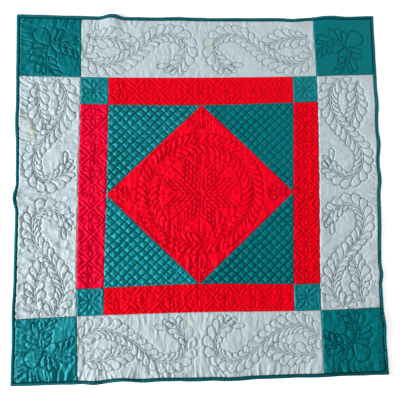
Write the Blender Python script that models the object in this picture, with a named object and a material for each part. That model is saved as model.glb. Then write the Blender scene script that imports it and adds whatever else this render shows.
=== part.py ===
"""An amish quilt in the centre diamond pattern, lying face up on the floor.

The quilt is one back with its wadding, twenty-one patches sewn edge to edge over it,
and four strips of binding round the rim. Hand quilting draws each patch down along its
stitch lines, so the cloth puffs up between them. Every pattern is worked out flat, as
the maker marks it, and laid() then moves each point to where the cloth really lies.

Flat coordinates: U runs east, V runs north, with the origin in the middle of the quilt.
World coordinates: X east, Y north, Z up, in metres.
"""

import math
from collections import namedtuple

import bpy
import numpy as np
from mathutils import Vector
from mathutils.geometry import delaunay_2d_cdt

# Sizes across the quilt, from the middle outwards
CENTRE_HALF = 0.270
INNER_BORDER = 0.079
OUTER_BORDER = 0.1745
BINDING_WIDTH = 0.010
INNER_HALF = CENTRE_HALF + INNER_BORDER
OUTER_HALF = INNER_HALF + OUTER_BORDER
QUILT_HALF = OUTER_HALF + BINDING_WIDTH
MIDDLE_EAST = -0.0010
MIDDLE_NORTH = 0.0008

# Heights above the floor
CLEARANCE = 0.0003
BACK_TOP = 0.0017
PATCH_UNDERSIDE = BACK_TOP + CLEARANCE
STITCH_HEIGHT = 0.0034
LOFT = 0.0042
LOFT_SPREAD = 0.005

# How coarsely the cloth is drawn
SEAM_PITCH = 0.034
RIM_PITCH = 0.022
SEAM_SNAP = 0.004
PLAIN_PITCH = 0.030
PLAIN_CLEAR = 0.011
UNDERSIDE_PITCH = 0.045
SAME_POINT = 1e-6
ON_SEAM = 1e-4
MERGE = 1e-5
ONE_STITCH = 0.0015
SLIVER = 1e-8
BULGE = 1.6e-3

# Crosshatch and strip quilting
CELLS_PER_LEG = 10
DIAMONDS_PER_STRIP = 7
CHEVRON_INSET = 0.016
ROSETTE_REACH = 0.026
ROSETTE_WIDTH = 0.014
CORNER_PETAL_REACH = 0.036
CORNER_PETAL_WIDTH = 0.016

# The star and its feather wreath in the centre diamond
STAR_POINTS = 8
STAR_REACH = 0.116
STAR_DIVISIONS = 4
PUFF_RADIUS = 0.094
PUFF_ASIDE = 0.20
Wreath = namedtuple("Wreath", "lobes root notch lean side")
WREATH = (
    Wreath(lobes=60, root=0.1545, notch=0.177, lean=-0.125, side=-1),
    Wreath(lobes=44, root=0.1490, notch=0.127, lean=-0.185, side=1),
)

# Feather plumes of one half of an outer strip. A knot is a place on the spine, its run from
# the strip's end and its rise from the inner seam, with the reach of the lobes on each side
Knot = namedtuple("Knot", "run rise left right")
MAIN_PLUME = (
    Knot(0.006, 0.072, 0.026, 0.020),
    Knot(0.026, 0.053, 0.033, 0.029),
    Knot(0.052, 0.039, 0.034, 0.031),
    Knot(0.082, 0.038, 0.032, 0.034),
    Knot(0.110, 0.047, 0.026, 0.034),
    Knot(0.136, 0.060, 0.026, 0.030),
    Knot(0.160, 0.077, 0.025, 0.028),
    Knot(0.186, 0.099, 0.025, 0.028),
    Knot(0.212, 0.121, 0.028, 0.028),
    Knot(0.238, 0.131, 0.029, 0.029),
    Knot(0.264, 0.133, 0.026, 0.032),
    Knot(0.288, 0.126, 0.026, 0.026),
    Knot(0.304, 0.110, 0.026, 0.020),
    Knot(0.309, 0.088, 0.028, 0.024),
    Knot(0.302, 0.064, 0.028, 0.030),
    Knot(0.290, 0.046, 0.026, 0.034),
    Knot(0.281, 0.030, 0.020, 0.026),
)
BRANCH_PLUME = (
    Knot(0.018, 0.128, 0.020, 0.016),
    Knot(0.040, 0.119, 0.028, 0.024),
    Knot(0.060, 0.119, 0.034, 0.030),
    Knot(0.080, 0.122, 0.032, 0.031),
    Knot(0.100, 0.116, 0.031, 0.029),
    Knot(0.120, 0.110, 0.029, 0.024),
    Knot(0.138, 0.102, 0.026, 0.014),
    Knot(0.152, 0.091, 0.022, 0.010),
)
PLUME_PITCH = 0.0205
PLUME_LEAN = 0.74
LOBE_ROUNDNESS = 0.43

# Leaves and petals: teardrops from base to tip. Those of a strip are measured as its plumes,
# those of an outer corner from the block's inner corner, and those of a tip from the middle
Leaf = namedtuple("Leaf", "base tip width")
STRIP_LEAVES = (
    Leaf((0.008, 0.077), (0.012, 0.108), 0.017),
    Leaf((0.015, 0.074), (0.039, 0.093), 0.018),
    Leaf((0.264, 0.041), (0.221, 0.037), 0.015),
    Leaf((0.274, 0.034), (0.243, 0.019), 0.016),
    Leaf((0.280, 0.031), (0.262, 0.012), 0.016),
)
FLOWER_PETALS = (
    Leaf((0.095, 0.088), (0.141, 0.127), 0.048),
    Leaf((0.096, 0.086), (0.079, 0.042), 0.030),
    Leaf((0.092, 0.089), (0.050, 0.078), 0.027),
)
SPRAY_LEAVES = (
    Leaf((0.091, 0.099), (0.091, 0.137), 0.021),
    Leaf((0.083, 0.102), (0.071, 0.147), 0.018),
    Leaf((0.073, 0.105), (0.050, 0.143), 0.017),
    Leaf((0.062, 0.107), (0.011, 0.122), 0.019),
    Leaf((0.042, 0.102), (0.006, 0.105), 0.012),
    Leaf((0.060, 0.094), (0.036, 0.069), 0.018),
    Leaf((0.043, 0.092), (0.020, 0.063), 0.016),
    Leaf((0.024, 0.085), (0.007, 0.054), 0.014),
)
SPRAY_STEM = ((0.094, 0.094), (0.070, 0.100), (0.045, 0.098), (0.022, 0.088), (0.004, 0.074))
TIP_LEAVES = (
    Leaf((0.004, 0.257), (0.011, 0.247), 0.007),
    Leaf((0.004, 0.249), (0.024, 0.238), 0.012),
    Leaf((0.004, 0.236), (0.030, 0.224), 0.013),
    Leaf((0.004, 0.222), (0.022, 0.210), 0.011),
    Leaf((0.003, 0.209), (0.011, 0.199), 0.008),
)
TIP_STEM = ((0.0035, 0.198), (0.0035, 0.257))

# How far the long lines of the quilt stray from square, in metres, at five stations:
# the first rim, a seam, the middle, the other seam and the far rim
Stray = namedtuple("Stray", "line rim seam middle far_seam far_rim")
STATIONS = (-QUILT_HALF, -0.310, 0.0, 0.310, QUILT_HALF)
STRAY_EAST = (
    Stray(-QUILT_HALF, -0.005, -0.002, 0.001, -0.002, -0.003),
    Stray(-INNER_HALF, -0.003, -0.007, -0.004, 0.002, 0.003),
    Stray(-CENTRE_HALF, -0.005, -0.009, -0.002, 0.004, 0.003),
    Stray(CENTRE_HALF, -0.001, -0.002, 0.005, 0.013, 0.007),
    Stray(INNER_HALF, -0.001, -0.004, 0.003, 0.007, 0.001),
    Stray(QUILT_HALF, 0.005, -0.004, 0.003, 0.006, 0.004),
)
STRAY_NORTH = (
    Stray(-QUILT_HALF, -0.005, -0.004, -0.004, -0.001, 0.001),
    Stray(-INNER_HALF, -0.005, 0.001, 0.005, 0.003, 0.008),
    Stray(-CENTRE_HALF, -0.003, -0.001, 0.006, 0.001, 0.006),
    Stray(CENTRE_HALF, -0.002, -0.006, -0.009, -0.001, 0.003),
    Stray(INNER_HALF, 0.001, -0.004, -0.005, -0.001, 0.005),
    Stray(QUILT_HALF, 0.003, -0.002, -0.005, -0.003, 0.004),
)

# Soft humps in the rim: where along the side, how far out and up, and half their length
Hump = namedtuple("Hump", "side at out rise half")
HUMP_DEPTH = 0.110
HUMPS = (
    Hump("north", -0.260, 0.006, 0.009, 0.042),
    Hump("north", -0.062, 0.000, 0.004, 0.070),
    Hump("north", 0.285, -0.005, 0.005, 0.055),
    Hump("north", 0.395, 0.003, 0.005, 0.060),
    Hump("east", 0.262, 0.001, 0.005, 0.055),
    Hump("east", 0.135, 0.002, 0.006, 0.050),
    Hump("east", 0.030, 0.003, 0.004, 0.045),
    Hump("east", -0.110, -0.001, 0.005, 0.060),
    Hump("east", -0.250, 0.003, 0.004, 0.038),
    Hump("east", -0.400, 0.001, 0.006, 0.055),
    Hump("south", 0.330, 0.000, 0.005, 0.070),
    Hump("south", 0.090, 0.002, 0.004, 0.066),
    Hump("south", -0.100, -0.003, 0.003, 0.080),
    Hump("south", -0.225, -0.006, 0.007, 0.062),
    Hump("south", -0.300, 0.002, 0.005, 0.040),
    Hump("west", -0.330, 0.001, 0.005, 0.070),
    Hump("west", -0.008, 0.006, 0.009, 0.044),
    Hump("west", 0.215, 0.001, 0.004, 0.065),
)

# Section of the binding: share of its width from the seam outwards, then height
BINDING_SECTION = (
    (0.00, 0.0000), (0.90, 0.0000), (1.00, 0.0030), (0.60, 0.0064), (0.00, 0.0046),
)

SIDES = ("north", "east", "south", "west")
CORNERS = ("northeast", "southeast", "southwest", "northwest")

# Colour (linear RGB) and roughness of each cloth
CLOTHS = {
    "red_cotton": ((0.730, 0.004, 0.030), 0.85),
    "teal_cotton": ((0.000, 0.165, 0.175), 0.85),
    "grey_cotton": ((0.540, 0.620, 0.640), 0.88),
    "binding_cotton": ((0.000, 0.095, 0.105), 0.85),
    "back_cotton": ((0.600, 0.640, 0.640), 0.90),
}


def clear_scene():
    """Starts from an empty scene."""
    for obj in list(bpy.data.objects):
        bpy.data.objects.remove(obj, do_unlink=True)


def make_materials():
    """One Principled material for each cloth."""
    made = {}
    for name, (colour, roughness) in CLOTHS.items():
        material = bpy.data.materials.new(name)
        material.use_nodes = True
        shader = material.node_tree.nodes["Principled BSDF"]
        shader.inputs["Base Color"].default_value = (*colour, 1.0)
        shader.inputs["Roughness"].default_value = roughness
        shader.inputs["Metallic"].default_value = 0.0
        made[name] = material
    return made


def through_stations(row, places):
    """A smooth curve through the five values of a row of strays, read at each place."""
    stations = np.array(STATIONS)
    values = np.array(row[1:])
    slopes = np.gradient(values, stations)
    places = np.clip(places, stations[0], stations[-1])
    cell = np.clip(np.searchsorted(stations, places) - 1, 0, len(stations) - 2)
    width = stations[cell + 1] - stations[cell]
    t = (places - stations[cell]) / width
    rise = (values[cell + 1] - values[cell]) * (3 * t**2 - 2 * t**3)
    ease = (slopes[cell] * (t - 2 * t**2 + t**3) + slopes[cell + 1] * (t**3 - t**2)) * width
    return values[cell] + rise + ease


def stray(table, across, along):
    """How far the cloth strays at these places, read between the lines of a table."""
    lines = np.array([row.line for row in table])
    strays = np.stack([through_stations(row, along) for row in table])
    cell = np.clip(np.searchsorted(lines, across) - 1, 0, len(lines) - 2)
    t = np.clip((across - lines[cell]) / (lines[cell + 1] - lines[cell]), 0.0, 1.0)
    index = np.arange(len(across))
    return strays[cell, index] * (1 - t) + strays[cell + 1, index] * t


def laid(flat):
    """Where points of the flat quilt lie: east, north, and how far the cloth is lifted."""
    flat = np.asarray(flat, float)
    u, v = flat[:, 0], flat[:, 1]
    east = u + stray(STRAY_EAST, u, v) + MIDDLE_EAST
    north = v + stray(STRAY_NORTH, v, u) + MIDDLE_NORTH
    lift = np.zeros(len(flat))
    for hump in HUMPS:
        along, out = {
            "north": (u, v), "south": (u, -v), "east": (v, u), "west": (v, -u),
        }[hump.side]
        near = np.clip(1 - (QUILT_HALF - out) / HUMP_DEPTH, 0.0, 1.0) ** 2
        swell = np.cos(np.clip((along - hump.at) / hump.half, -1, 1) * math.pi / 2) ** 2 * near
        lift += hump.rise * swell
        shift = hump.out * swell
        if hump.side in ("north", "south"):
            north += shift if hump.side == "north" else -shift
        else:
            east += shift if hump.side == "east" else -shift
    return np.stack([east, north, lift], axis=1)


def turned(points, quarters):
    """The points turned clockwise by so many quarter turns."""
    u, v = np.asarray(points, float).reshape(-1, 2).T
    for _ in range(quarters):
        u, v = v, -u
    return np.stack([u, v], axis=1)


def smooth_route(points, steps):
    """Evenly spaced points on a smooth curve through a hand-drawn route."""
    knots = np.array(points, float)
    padded = np.vstack([2 * knots[0] - knots[1], knots, 2 * knots[-1] - knots[-2]])
    t = np.linspace(0, 1, 16, endpoint=False)[:, None]
    spans = []
    for p0, p1, p2, p3 in zip(padded, padded[1:], padded[2:], padded[3:]):
        curve = 2 * p1 + (p2 - p0) * t + (2 * p0 - 5 * p1 + 4 * p2 - p3) * t**2
        spans.append((curve + (3 * p1 - p0 - 3 * p2 + p3) * t**3) / 2)
    fine = np.vstack([*spans, knots[-1:]])
    run = np.concatenate([[0], np.cumsum(np.linalg.norm(np.diff(fine, axis=0), axis=1))])
    places = np.linspace(0, run[-1], steps + 1)
    return np.stack([np.interp(places, run, fine[:, k]) for k in (0, 1)], axis=1)


def arc_between(start, end, bulge, steps):
    """Points from start to end that bulge to the left by the given depth."""
    start, end = np.array(start), np.array(end)
    t = np.linspace(0, 1, steps + 1)[:, None]
    left = np.array([start[1] - end[1], end[0] - start[0]])
    left = left / np.linalg.norm(left)
    return start + (end - start) * t + left * bulge * np.sin(math.pi * t)


class Quilting:
    """The stitch lines of one patch, and the crowns of the puffs between them."""

    def __init__(self):
        self.lines = []
        self.crowns = []
        self.taken = []

    def sew(self, points):
        self.lines.append(np.array(points, float))

    def crown(self, point):
        self.crowns.append(np.array(point, float))

    def claim(self, centre, radius):
        """True, and the place is marked as taken, if no earlier motif is there."""
        for other, size in self.taken:
            if np.linalg.norm(other - centre) < 0.75 * (radius + size):
                return False
        self.taken.append((np.array(centre), radius))
        return True

    def join(self, other, mapping):
        """Adds another piece of quilting, moved by a mapping of its points."""
        self.lines += [mapping(line) for line in other.lines]
        self.crowns += [mapping(point)[0] for point in other.crowns]


def lobe_row(work, roots, notches, side):
    """A row of round lobes to one side, each with two dividers and a scallop between them."""
    for i in range(len(roots) - 1):
        middle = (roots[i] + roots[i + 1] + 1.6 * (notches[i] + notches[i + 1])) / 5.2
        chord = np.linalg.norm(notches[i + 1] - notches[i])
        if work.claim(middle, 0.34 * chord):
            scallop = arc_between(notches[i], notches[i + 1], side * LOBE_ROUNDNESS * chord, 2)
            work.sew(np.vstack([roots[i], scallop, roots[i + 1]]))
            work.crown(middle)


def plume(work, knots):
    """A feather plume: a spine with round lobes on both sides that lean towards its tip."""
    route = np.array([knot[:2] for knot in knots])
    length = np.linalg.norm(np.diff(route, axis=0), axis=1)
    lobes = int(round(length.sum() / PLUME_PITCH))
    spine = smooth_route(route, lobes)
    run = np.concatenate([[0], np.cumsum(length)]) / length.sum()
    forward = np.gradient(spine, axis=0)
    forward /= np.linalg.norm(forward, axis=1)[:, None]
    left = np.stack([-forward[:, 1], forward[:, 0]], axis=1)
    work.sew(spine)
    for side, column in ((1, 2), (-1, 3)):
        reach = np.interp(np.linspace(0, 1, lobes + 1), run, [knot[column] for knot in knots])
        notches = spine + (0.69 * side * left + PLUME_LEAN * forward) * reach[:, None]
        lobe_row(work, spine, notches, side)


def teardrop(work, leaf, steps=6):
    """A petal or leaf, pointed at its base and round at its tip."""
    base, tip = np.array(leaf.base), np.array(leaf.tip)
    along = tip - base
    across = np.array([-along[1], along[0]]) / np.linalg.norm(along)
    turn = np.linspace(0, 2 * math.pi, steps + 1)
    far = np.outer((1 - np.cos(turn)) / 2, along)
    wide = np.outer(0.65 * leaf.width * np.sin(turn) * np.sin(turn / 2), across)
    if work.claim(base + 0.6 * along, 0.4 * leaf.width):
        work.sew(base + far + wide)
        work.crown(base + 0.6 * along)


def wide_petal(work, leaf):
    """A petal so wide that it needs a ring of crowns to stand full."""
    teardrop(work, leaf, steps=12)
    base, tip = np.array(leaf.base), np.array(leaf.tip)
    for point in around(np.linspace(0, 2 * math.pi, 5, endpoint=False)):
        work.crown(base + 0.6 * (tip - base) + 0.2 * leaf.width * point)


def rosette(work, centre, petals, reach, width, first_turn=0.0):
    """Petals set evenly round a point."""
    for k in range(petals):
        angle = first_turn + 2 * math.pi * k / petals
        out = np.array([math.cos(angle), math.sin(angle)])
        teardrop(work, Leaf(centre + 0.002 * out, centre + reach * out, width))


def around(turn):
    """Points of the unit circle."""
    return np.stack([np.cos(turn), np.sin(turn)], axis=1)


def crosshatch():
    """Square cells set on edge, for the triangle with its right angle in the northeast."""
    work = Quilting()
    step = CENTRE_HALF / CELLS_PER_LEG
    far = CENTRE_HALF
    for k in range(1, CELLS_PER_LEG):
        work.sew([(far, k * step), (k * step, far)])
    for k in range(1, 2 * CELLS_PER_LEG):
        reach = step * min(k, 2 * CELLS_PER_LEG - k)
        middle = k * step / 2
        start = np.array([middle, far - middle])
        work.sew([start, start + reach / 2])
    for i in range(CELLS_PER_LEG):
        for j in range(2 * CELLS_PER_LEG):
            total = far + (i + 0.5) * step
            difference = (j + 0.5) * step - far
            u, v = (total + difference) / 2, (total - difference) / 2
            if max(u, v) < far - step / 4:
                work.crown((u, v))
    for k in range(CELLS_PER_LEG):
        work.crown((far - step / 6, (k + 0.5) * step))
        work.crown(((k + 0.5) * step, far - step / 6))
    return work


def star_and_wreath():
    """The centre diamond's quilting: an eight-pointed star in a feather wreath."""
    work = Quilting()
    half_turn = math.pi / STAR_POINTS
    side = STAR_REACH / (2 * math.cos(half_turn))
    for k in range(STAR_POINTS):
        axis = half_turn * (2 * k + 1)
        first = side * np.array([math.cos(axis - half_turn), math.sin(axis - half_turn)])
        second = side * np.array([math.cos(axis + half_turn), math.sin(axis + half_turn)])
        for i in range(STAR_DIVISIONS + 1):
            share = i / STAR_DIVISIONS
            work.sew([first * share, first * share + second])
            work.sew([second * share, second * share + first])
        for i in range(STAR_DIVISIONS):
            for j in range(STAR_DIVISIONS):
                work.crown((first * (i + 0.5) + second * (j + 0.5)) / STAR_DIVISIONS)
        work.sew([first, first * STAR_REACH / side])
        for aside in (-PUFF_ASIDE, PUFF_ASIDE):
            work.crown(PUFF_RADIUS * around(np.array([2 * half_turn * (k + aside)]))[0])
    for ring in WREATH:
        turn = np.linspace(0, 2 * math.pi, ring.lobes + 1)
        roots = ring.root * around(turn)
        work.sew(roots)
        lobe_row(work, roots, ring.notch * around(turn + ring.lean), ring.side)
    for quarter in range(4):
        for mirror in (1, -1):
            tip = Quilting()
            for leaf in TIP_LEAVES:
                teardrop(tip, leaf, steps=5)
            tip.sew(TIP_STEM)
            work.join(tip, lambda points, m=mirror, q=quarter: turned(
                np.atleast_2d(points) * (m, 1), q))
    return work


def inner_strip_quilting():
    """Diamonds tip to tip with a rosette in each, for the north inner strip."""
    work = Quilting()
    pitch = 2 * CENTRE_HALF / DIAMONDS_PER_STRIP
    middle = CENTRE_HALF + INNER_BORDER / 2
    half = INNER_BORDER / 2
    for up in (1, -1):
        zigzag = [(-CENTRE_HALF, middle)]
        for k in range(DIAMONDS_PER_STRIP):
            zigzag.append((-CENTRE_HALF + (k + 0.5) * pitch, middle + up * half))
            zigzag.append((-CENTRE_HALF + (k + 1) * pitch, middle))
        work.sew(zigzag)
        for k in range(1, DIAMONDS_PER_STRIP):
            tip = np.array([-CENTRE_HALF + k * pitch, middle])
            rim = pitch / 2 - CHEVRON_INSET
            work.sew([
                tip + (-rim, up * half), tip + (0, up * CHEVRON_INSET), tip + (rim, up * half),
            ])
            work.crown(tip + (0, up * (half + CHEVRON_INSET) / 2))
    for k in range(DIAMONDS_PER_STRIP):
        centre = np.array([-CENTRE_HALF + (k + 0.5) * pitch, middle])
        rosette(work, centre, 4, ROSETTE_REACH, ROSETTE_WIDTH)
    return work


def inner_corner_quilting():
    """Four long petals to the corners and four short ones between, for the northeast."""
    work = Quilting()
    centre = np.array([CENTRE_HALF + INNER_BORDER / 2] * 2)
    rosette(work, centre, 4, CORNER_PETAL_REACH * 1.25, CORNER_PETAL_WIDTH, math.pi / 4)
    rosette(work, centre, 4, CORNER_PETAL_REACH * 0.85, CORNER_PETAL_WIDTH * 0.8)
    return work


def outer_strip_quilting():
    """Feather plumes that sweep from both ends to the middle, for the north outer strip."""
    half = Quilting()
    for knots in (MAIN_PLUME, BRANCH_PLUME):
        plume(half, knots)
    for leaf in STRIP_LEAVES:
        teardrop(half, leaf)
    work = Quilting()
    for end in (-1, 1):
        work.join(half, lambda points, end=end: np.stack([
            end * (INNER_HALF - np.atleast_2d(points)[:, 0]),
            INNER_HALF + np.atleast_2d(points)[:, 1],
        ], axis=1))
    return work


def outer_corner_quilting():
    """A flower with three wide petals and two leafy sprays, for the northeast."""
    block = Quilting()
    for petal in FLOWER_PETALS:
        wide_petal(block, petal)
    for step in (1, -1):
        for leaf in SPRAY_LEAVES:
            teardrop(block, Leaf(leaf.base[::step], leaf.tip[::step], leaf.width))
        block.sew(smooth_route(np.array(SPRAY_STEM)[:, ::step], 5))
    work = Quilting()
    work.join(block, lambda points: np.atleast_2d(points) + INNER_HALF)
    return work


def rectangle(west, south, east, north):
    return np.array([(west, south), (east, south), (east, north), (west, north)])


Patch = namedtuple("Patch", "name cloth outline quilting")


def patches():
    """Every patch of the top, with its outline and its quilting in flat coordinates."""
    c, i, o = CENTRE_HALF, INNER_HALF, OUTER_HALF
    diamond = np.array([(c, 0), (0, c), (-c, 0), (0, -c)])
    made = [Patch("center_diamond", "red_cotton", diamond, star_and_wreath())]
    pattern = (
        ("triangle_", CORNERS, "teal_cotton", np.array([(c, 0), (c, c), (0, c)]), crosshatch()),
        ("inner_strip_", SIDES, "red_cotton", rectangle(-c, c, c, i), inner_strip_quilting()),
        ("inner_corner_", CORNERS, "teal_cotton", rectangle(c, c, i, i), inner_corner_quilting()),
        ("outer_strip_", SIDES, "grey_cotton", rectangle(-i, i, i, o), outer_strip_quilting()),
        ("outer_corner_", CORNERS, "teal_cotton", rectangle(i, i, o, o), outer_corner_quilting()),
    )
    for prefix, places, cloth, outline, quilting in pattern:
        for quarters, place in enumerate(places):
            work = Quilting()
            work.join(quilting, lambda points, q=quarters: turned(points, q))
            made.append(Patch(prefix + place, cloth, turned(outline, quarters), work))
    return made


def edges_of(outline):
    """The outline's edges as (start, end, inward normal)."""
    edges = []
    for start, end in zip(outline, np.roll(outline, -1, axis=0)):
        along = (end - start) / np.linalg.norm(end - start)
        edges.append((start, end, np.array([-along[1], along[0]])))
    return edges


def inside_part(start, end, edges):
    """The stretch of a segment inside a convex outline, as two shares of it, or None."""
    first, last = 0.0, 1.0
    for corner, _, inward in edges:
        a = np.dot(start - corner, inward)
        b = np.dot(end - corner, inward)
        if a < -SAME_POINT and b < -SAME_POINT:
            return None
        if a < -SAME_POINT:
            first = max(first, a / (a - b))
        elif b < -SAME_POINT:
            last = min(last, a / (a - b))
    return (first, last) if last - first > SAME_POINT else None


def clipped(line, edges):
    """The runs of a stitch line that lie on the patch."""
    runs, run = [], []
    for start, end in zip(line, line[1:]):
        part = inside_part(start, end, edges)
        if part is None:
            if len(run) > 1:
                runs.append(np.array(run))
            run = []
            continue
        first, last = (start + (end - start) * share for share in part)
        run = run or [first]
        run.append(last)
        if part[1] < 1.0:
            runs.append(np.array(run))
            run = []
    if len(run) > 1:
        runs.append(np.array(run))
    return runs


class SeamNet:
    """The points on all the seams, shared by the patches on both sides and by the back."""

    def __init__(self):
        self.points = []

    def add(self, point, near=None):
        """The seam point at this place, or among some near it, or else a new one here."""
        reach = SAME_POINT if near is None else SEAM_SNAP
        for other in self.points if near is None else near:
            if np.linalg.norm(other - point) < reach:
                return other
        self.points.append(np.array(point, float))
        return self.points[-1]

    def on_edge(self, start, end, inward):
        """The seam points on an edge, from its start to its end."""
        run = np.linalg.norm(end - start)
        found = []
        for point in self.points:
            share = np.dot(point - start, end - start) / run**2
            if abs(np.dot(point - start, inward)) < SAME_POINT and -1e-9 < share < 1 + 1e-9:
                found.append((share, point))
        return [point for _, point in sorted(found, key=lambda pair: pair[0])]

    def fill(self, edges):
        """Adds points where an outline's seam points are far apart."""
        for start, end, inward in edges:
            row = self.on_edge(start, end, inward)
            for a, b in zip(row, row[1:]):
                pitch = RIM_PITCH if np.abs(a + b).max() > 1.999 * OUTER_HALF else SEAM_PITCH
                parts = math.ceil(np.linalg.norm(b - a) / pitch)
                for k in range(1, parts):
                    self.points.append(a + (b - a) * k / parts)

    def ring(self, edges):
        """All the seam points round an outline, anticlockwise."""
        points = []
        for start, end, inward in edges:
            points += self.on_edge(start, end, inward)[:-1]
        return np.array(points)


def fit_to_seams(patch, edges, net):
    """Clips a patch's stitch lines to its outline and ends them on shared seam points."""
    runs = []
    for line in patch.quilting.lines:
        for run in clipped(line, edges):
            for k, point in enumerate(run):
                for start, end, inward in edges:
                    off = np.dot(point - start, inward)
                    if abs(off) < ON_SEAM:
                        run[k] = net.add(point - off * inward, net.on_edge(start, end, inward))
                        break
            runs.append(run)
    return runs


def distance_to(points, starts, ends):
    """The distance from each point to the nearest of the segments."""
    along = ends - starts
    length = np.maximum((along**2).sum(axis=1), 1e-12)
    offset = points[:, None, :] - starts[None]
    share = np.clip((offset * along).sum(axis=2) / length, 0, 1)
    return np.linalg.norm(offset - share[..., None] * along, axis=2).min(axis=1)


def inside(points, edges, margin):
    keep = np.ones(len(points), bool)
    for corner, _, inward in edges:
        keep &= (points - corner) @ inward > margin
    return points[keep]


def hexagonal_grid(outline, pitch):
    """Points in staggered rows over the box of an outline."""
    low, high = outline.min(axis=0), outline.max(axis=0)
    rows = np.arange(low[1] + pitch / 2, high[1], pitch * math.sqrt(3) / 2)
    points = []
    for k, row in enumerate(rows):
        first = low[0] + pitch * (0.25 if k % 2 else 0.75)
        points += [(u, row) for u in np.arange(first, high[0], pitch)]
    return np.array(points)


def crowns_of(patch, edges, starts, ends):
    """The crowns that stand clear of the stitches, and more of them on the plain cloth."""
    crowns = [p for p in patch.quilting.crowns]
    grid = inside(hexagonal_grid(patch.outline, PLAIN_PITCH), edges, PLAIN_CLEAR)
    clear = grid[distance_to(grid, starts, ends) > PLAIN_CLEAR] if len(grid) else grid
    for point in clear:
        if all(np.linalg.norm(point - other) > 0.6 * PLAIN_PITCH for other in crowns):
            crowns.append(point)
    crowns = inside(np.array(crowns), edges, 0.003)
    return crowns[distance_to(crowns, starts, ends) > 0.003]


def area_twice(flat, face):
    (a, b, c) = (flat[k] for k in face)
    return (b[0] - a[0]) * (c[1] - a[1]) - (b[1] - a[1]) * (c[0] - a[0])


def without_slivers(flat, faces):
    """The same net with each flat triangle turned into its neighbour's."""
    faces = [tuple(face) for face in faces]
    for _ in range(4):
        owner = {(f[k], f[k - 2]): i for i, f in enumerate(faces) for k in range(3)}
        touched = set()
        for i, face in enumerate(faces):
            if i in touched or abs(area_twice(flat, face)) > SLIVER:
                continue
            spans = [np.linalg.norm(flat[face[k]] - flat[face[k - 2]]) for k in range(3)]
            k = int(np.argmax(spans))
            a, b, c = face[k], face[k - 2], face[k - 1]
            j = owner.get((b, a))
            if j is None or j in touched:
                continue
            d = next(corner for corner in faces[j] if corner not in (a, b))
            faces[i], faces[j] = (a, d, c), (d, b, c)
            touched |= {i, j}
        if not touched:
            break
    return np.array(faces)


def bulged(points, edges):
    """The points with each side of the outline bent outwards, so that no three are in line."""
    moved = points.copy()
    for start, end, inward in edges:
        along = (points - start) @ (end - start) / np.dot(end - start, end - start)
        on_side = np.abs((points - start) @ inward) < ON_SEAM
        moved -= np.outer(on_side * along * (1 - along) * BULGE, inward)
    return moved


def triangulate(points, constraints, edges):
    """Points and anticlockwise triangles of a constrained Delaunay net, and their sources."""
    points = np.array(points)
    drawn = [Vector(p) for p in bulged(points, edges)]
    result = delaunay_2d_cdt(drawn, constraints, [], 1, MERGE, True)
    flat = [points[min(origin)] if origin else np.array(p) for p, origin in zip(result[0], result[3])]
    return np.array(flat), without_slivers(flat, result[2]), result[3]


def loop_edges(count, first=0):
    return [(first + k, first + (k + 1) % count) for k in range(count)]


def stitched_net(ring, runs):
    """The points of an outline and its stitch lines, each place once, and the edges between."""
    points = list(ring)
    constraints = set(loop_edges(len(ring)))
    for run in runs:
        numbers = []
        for point in run:
            gaps = np.linalg.norm(np.array(points) - point, axis=1)
            number = int(np.argmin(gaps))
            if gaps[number] > ONE_STITCH:
                number = len(points)
                points.append(point)
            numbers.append(number)
        for a, b in zip(numbers, numbers[1:]):
            if a != b and (b, a) not in constraints:
                constraints.add((a, b))
    return points, sorted(constraints)


def face_net(patch, edges, ring, runs):
    """The patch's upper face: flat points, triangles and the height of each point."""
    points, constraints = stitched_net(ring, runs)
    starts = np.array([points[a] for a, _ in constraints])
    ends = np.array([points[b] for _, b in constraints])
    crowns = crowns_of(patch, edges, starts, ends)
    first_crown = len(points)
    points += list(crowns)
    flat, faces, sources = triangulate(points, constraints, edges)
    rise = LOFT * (1 - np.exp(-distance_to(crowns, starts, ends) / LOFT_SPREAD))
    height = np.full(len(flat), STITCH_HEIGHT)
    for k, origin in enumerate(sources):
        if origin and min(origin) >= first_crown:
            height[k] += rise[min(origin) - first_crown]
    return flat, faces, height


def underside_net(ring, outline, edges):
    """The patch's flat underside, with a few points inside so that it follows the humps."""
    grid = inside(hexagonal_grid(outline, UNDERSIDE_PITCH), edges, UNDERSIDE_PITCH / 3)
    outer = grid[np.abs(grid).max(axis=1) > INNER_HALF] if len(grid) else grid
    points = list(ring) + list(outer)
    return triangulate(points, loop_edges(len(ring)), edges)[:2]


def drawn_in(flat, edges, gap):
    """The points of an outline moved inwards by a gap, and the others as they are."""
    moved = flat.copy()
    for k, point in enumerate(flat):
        near = [n for corner, _, n in edges if abs(np.dot(point - corner, n)) < 1e-5]
        if len(near) == 1:
            moved[k] = point + near[0] * gap
        elif len(near) > 1:
            moved[k] = point + (near[0] + near[1]) * gap / (1 + np.dot(near[0], near[1]))
    return moved


def key_of(point):
    return (round(point[0], 5), round(point[1], 5))


def rim_edges(faces):
    """The directed edges that belong to one triangle only."""
    found = set()
    for a, b, c in faces:
        found |= {(a, b), (b, c), (c, a)}
    return [(a, b) for a, b in found if (b, a) not in found]


def closed_solid(upper, lower):
    """One closed skin from an upper and a lower face that share the rim's flat points."""
    (flat, faces, points), (low_flat, low_faces, low_points) = upper, lower
    below = {key_of(p): len(points) + k for k, p in enumerate(low_flat)}
    skin = [tuple(f) for f in faces]
    skin += [tuple(len(points) + k for k in face[::-1]) for face in low_faces]
    for a, b in sorted(rim_edges(faces)):
        skin.append((below[key_of(flat[a])], below[key_of(flat[b])], b, a))
    return np.vstack([points, low_points]), skin


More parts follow.
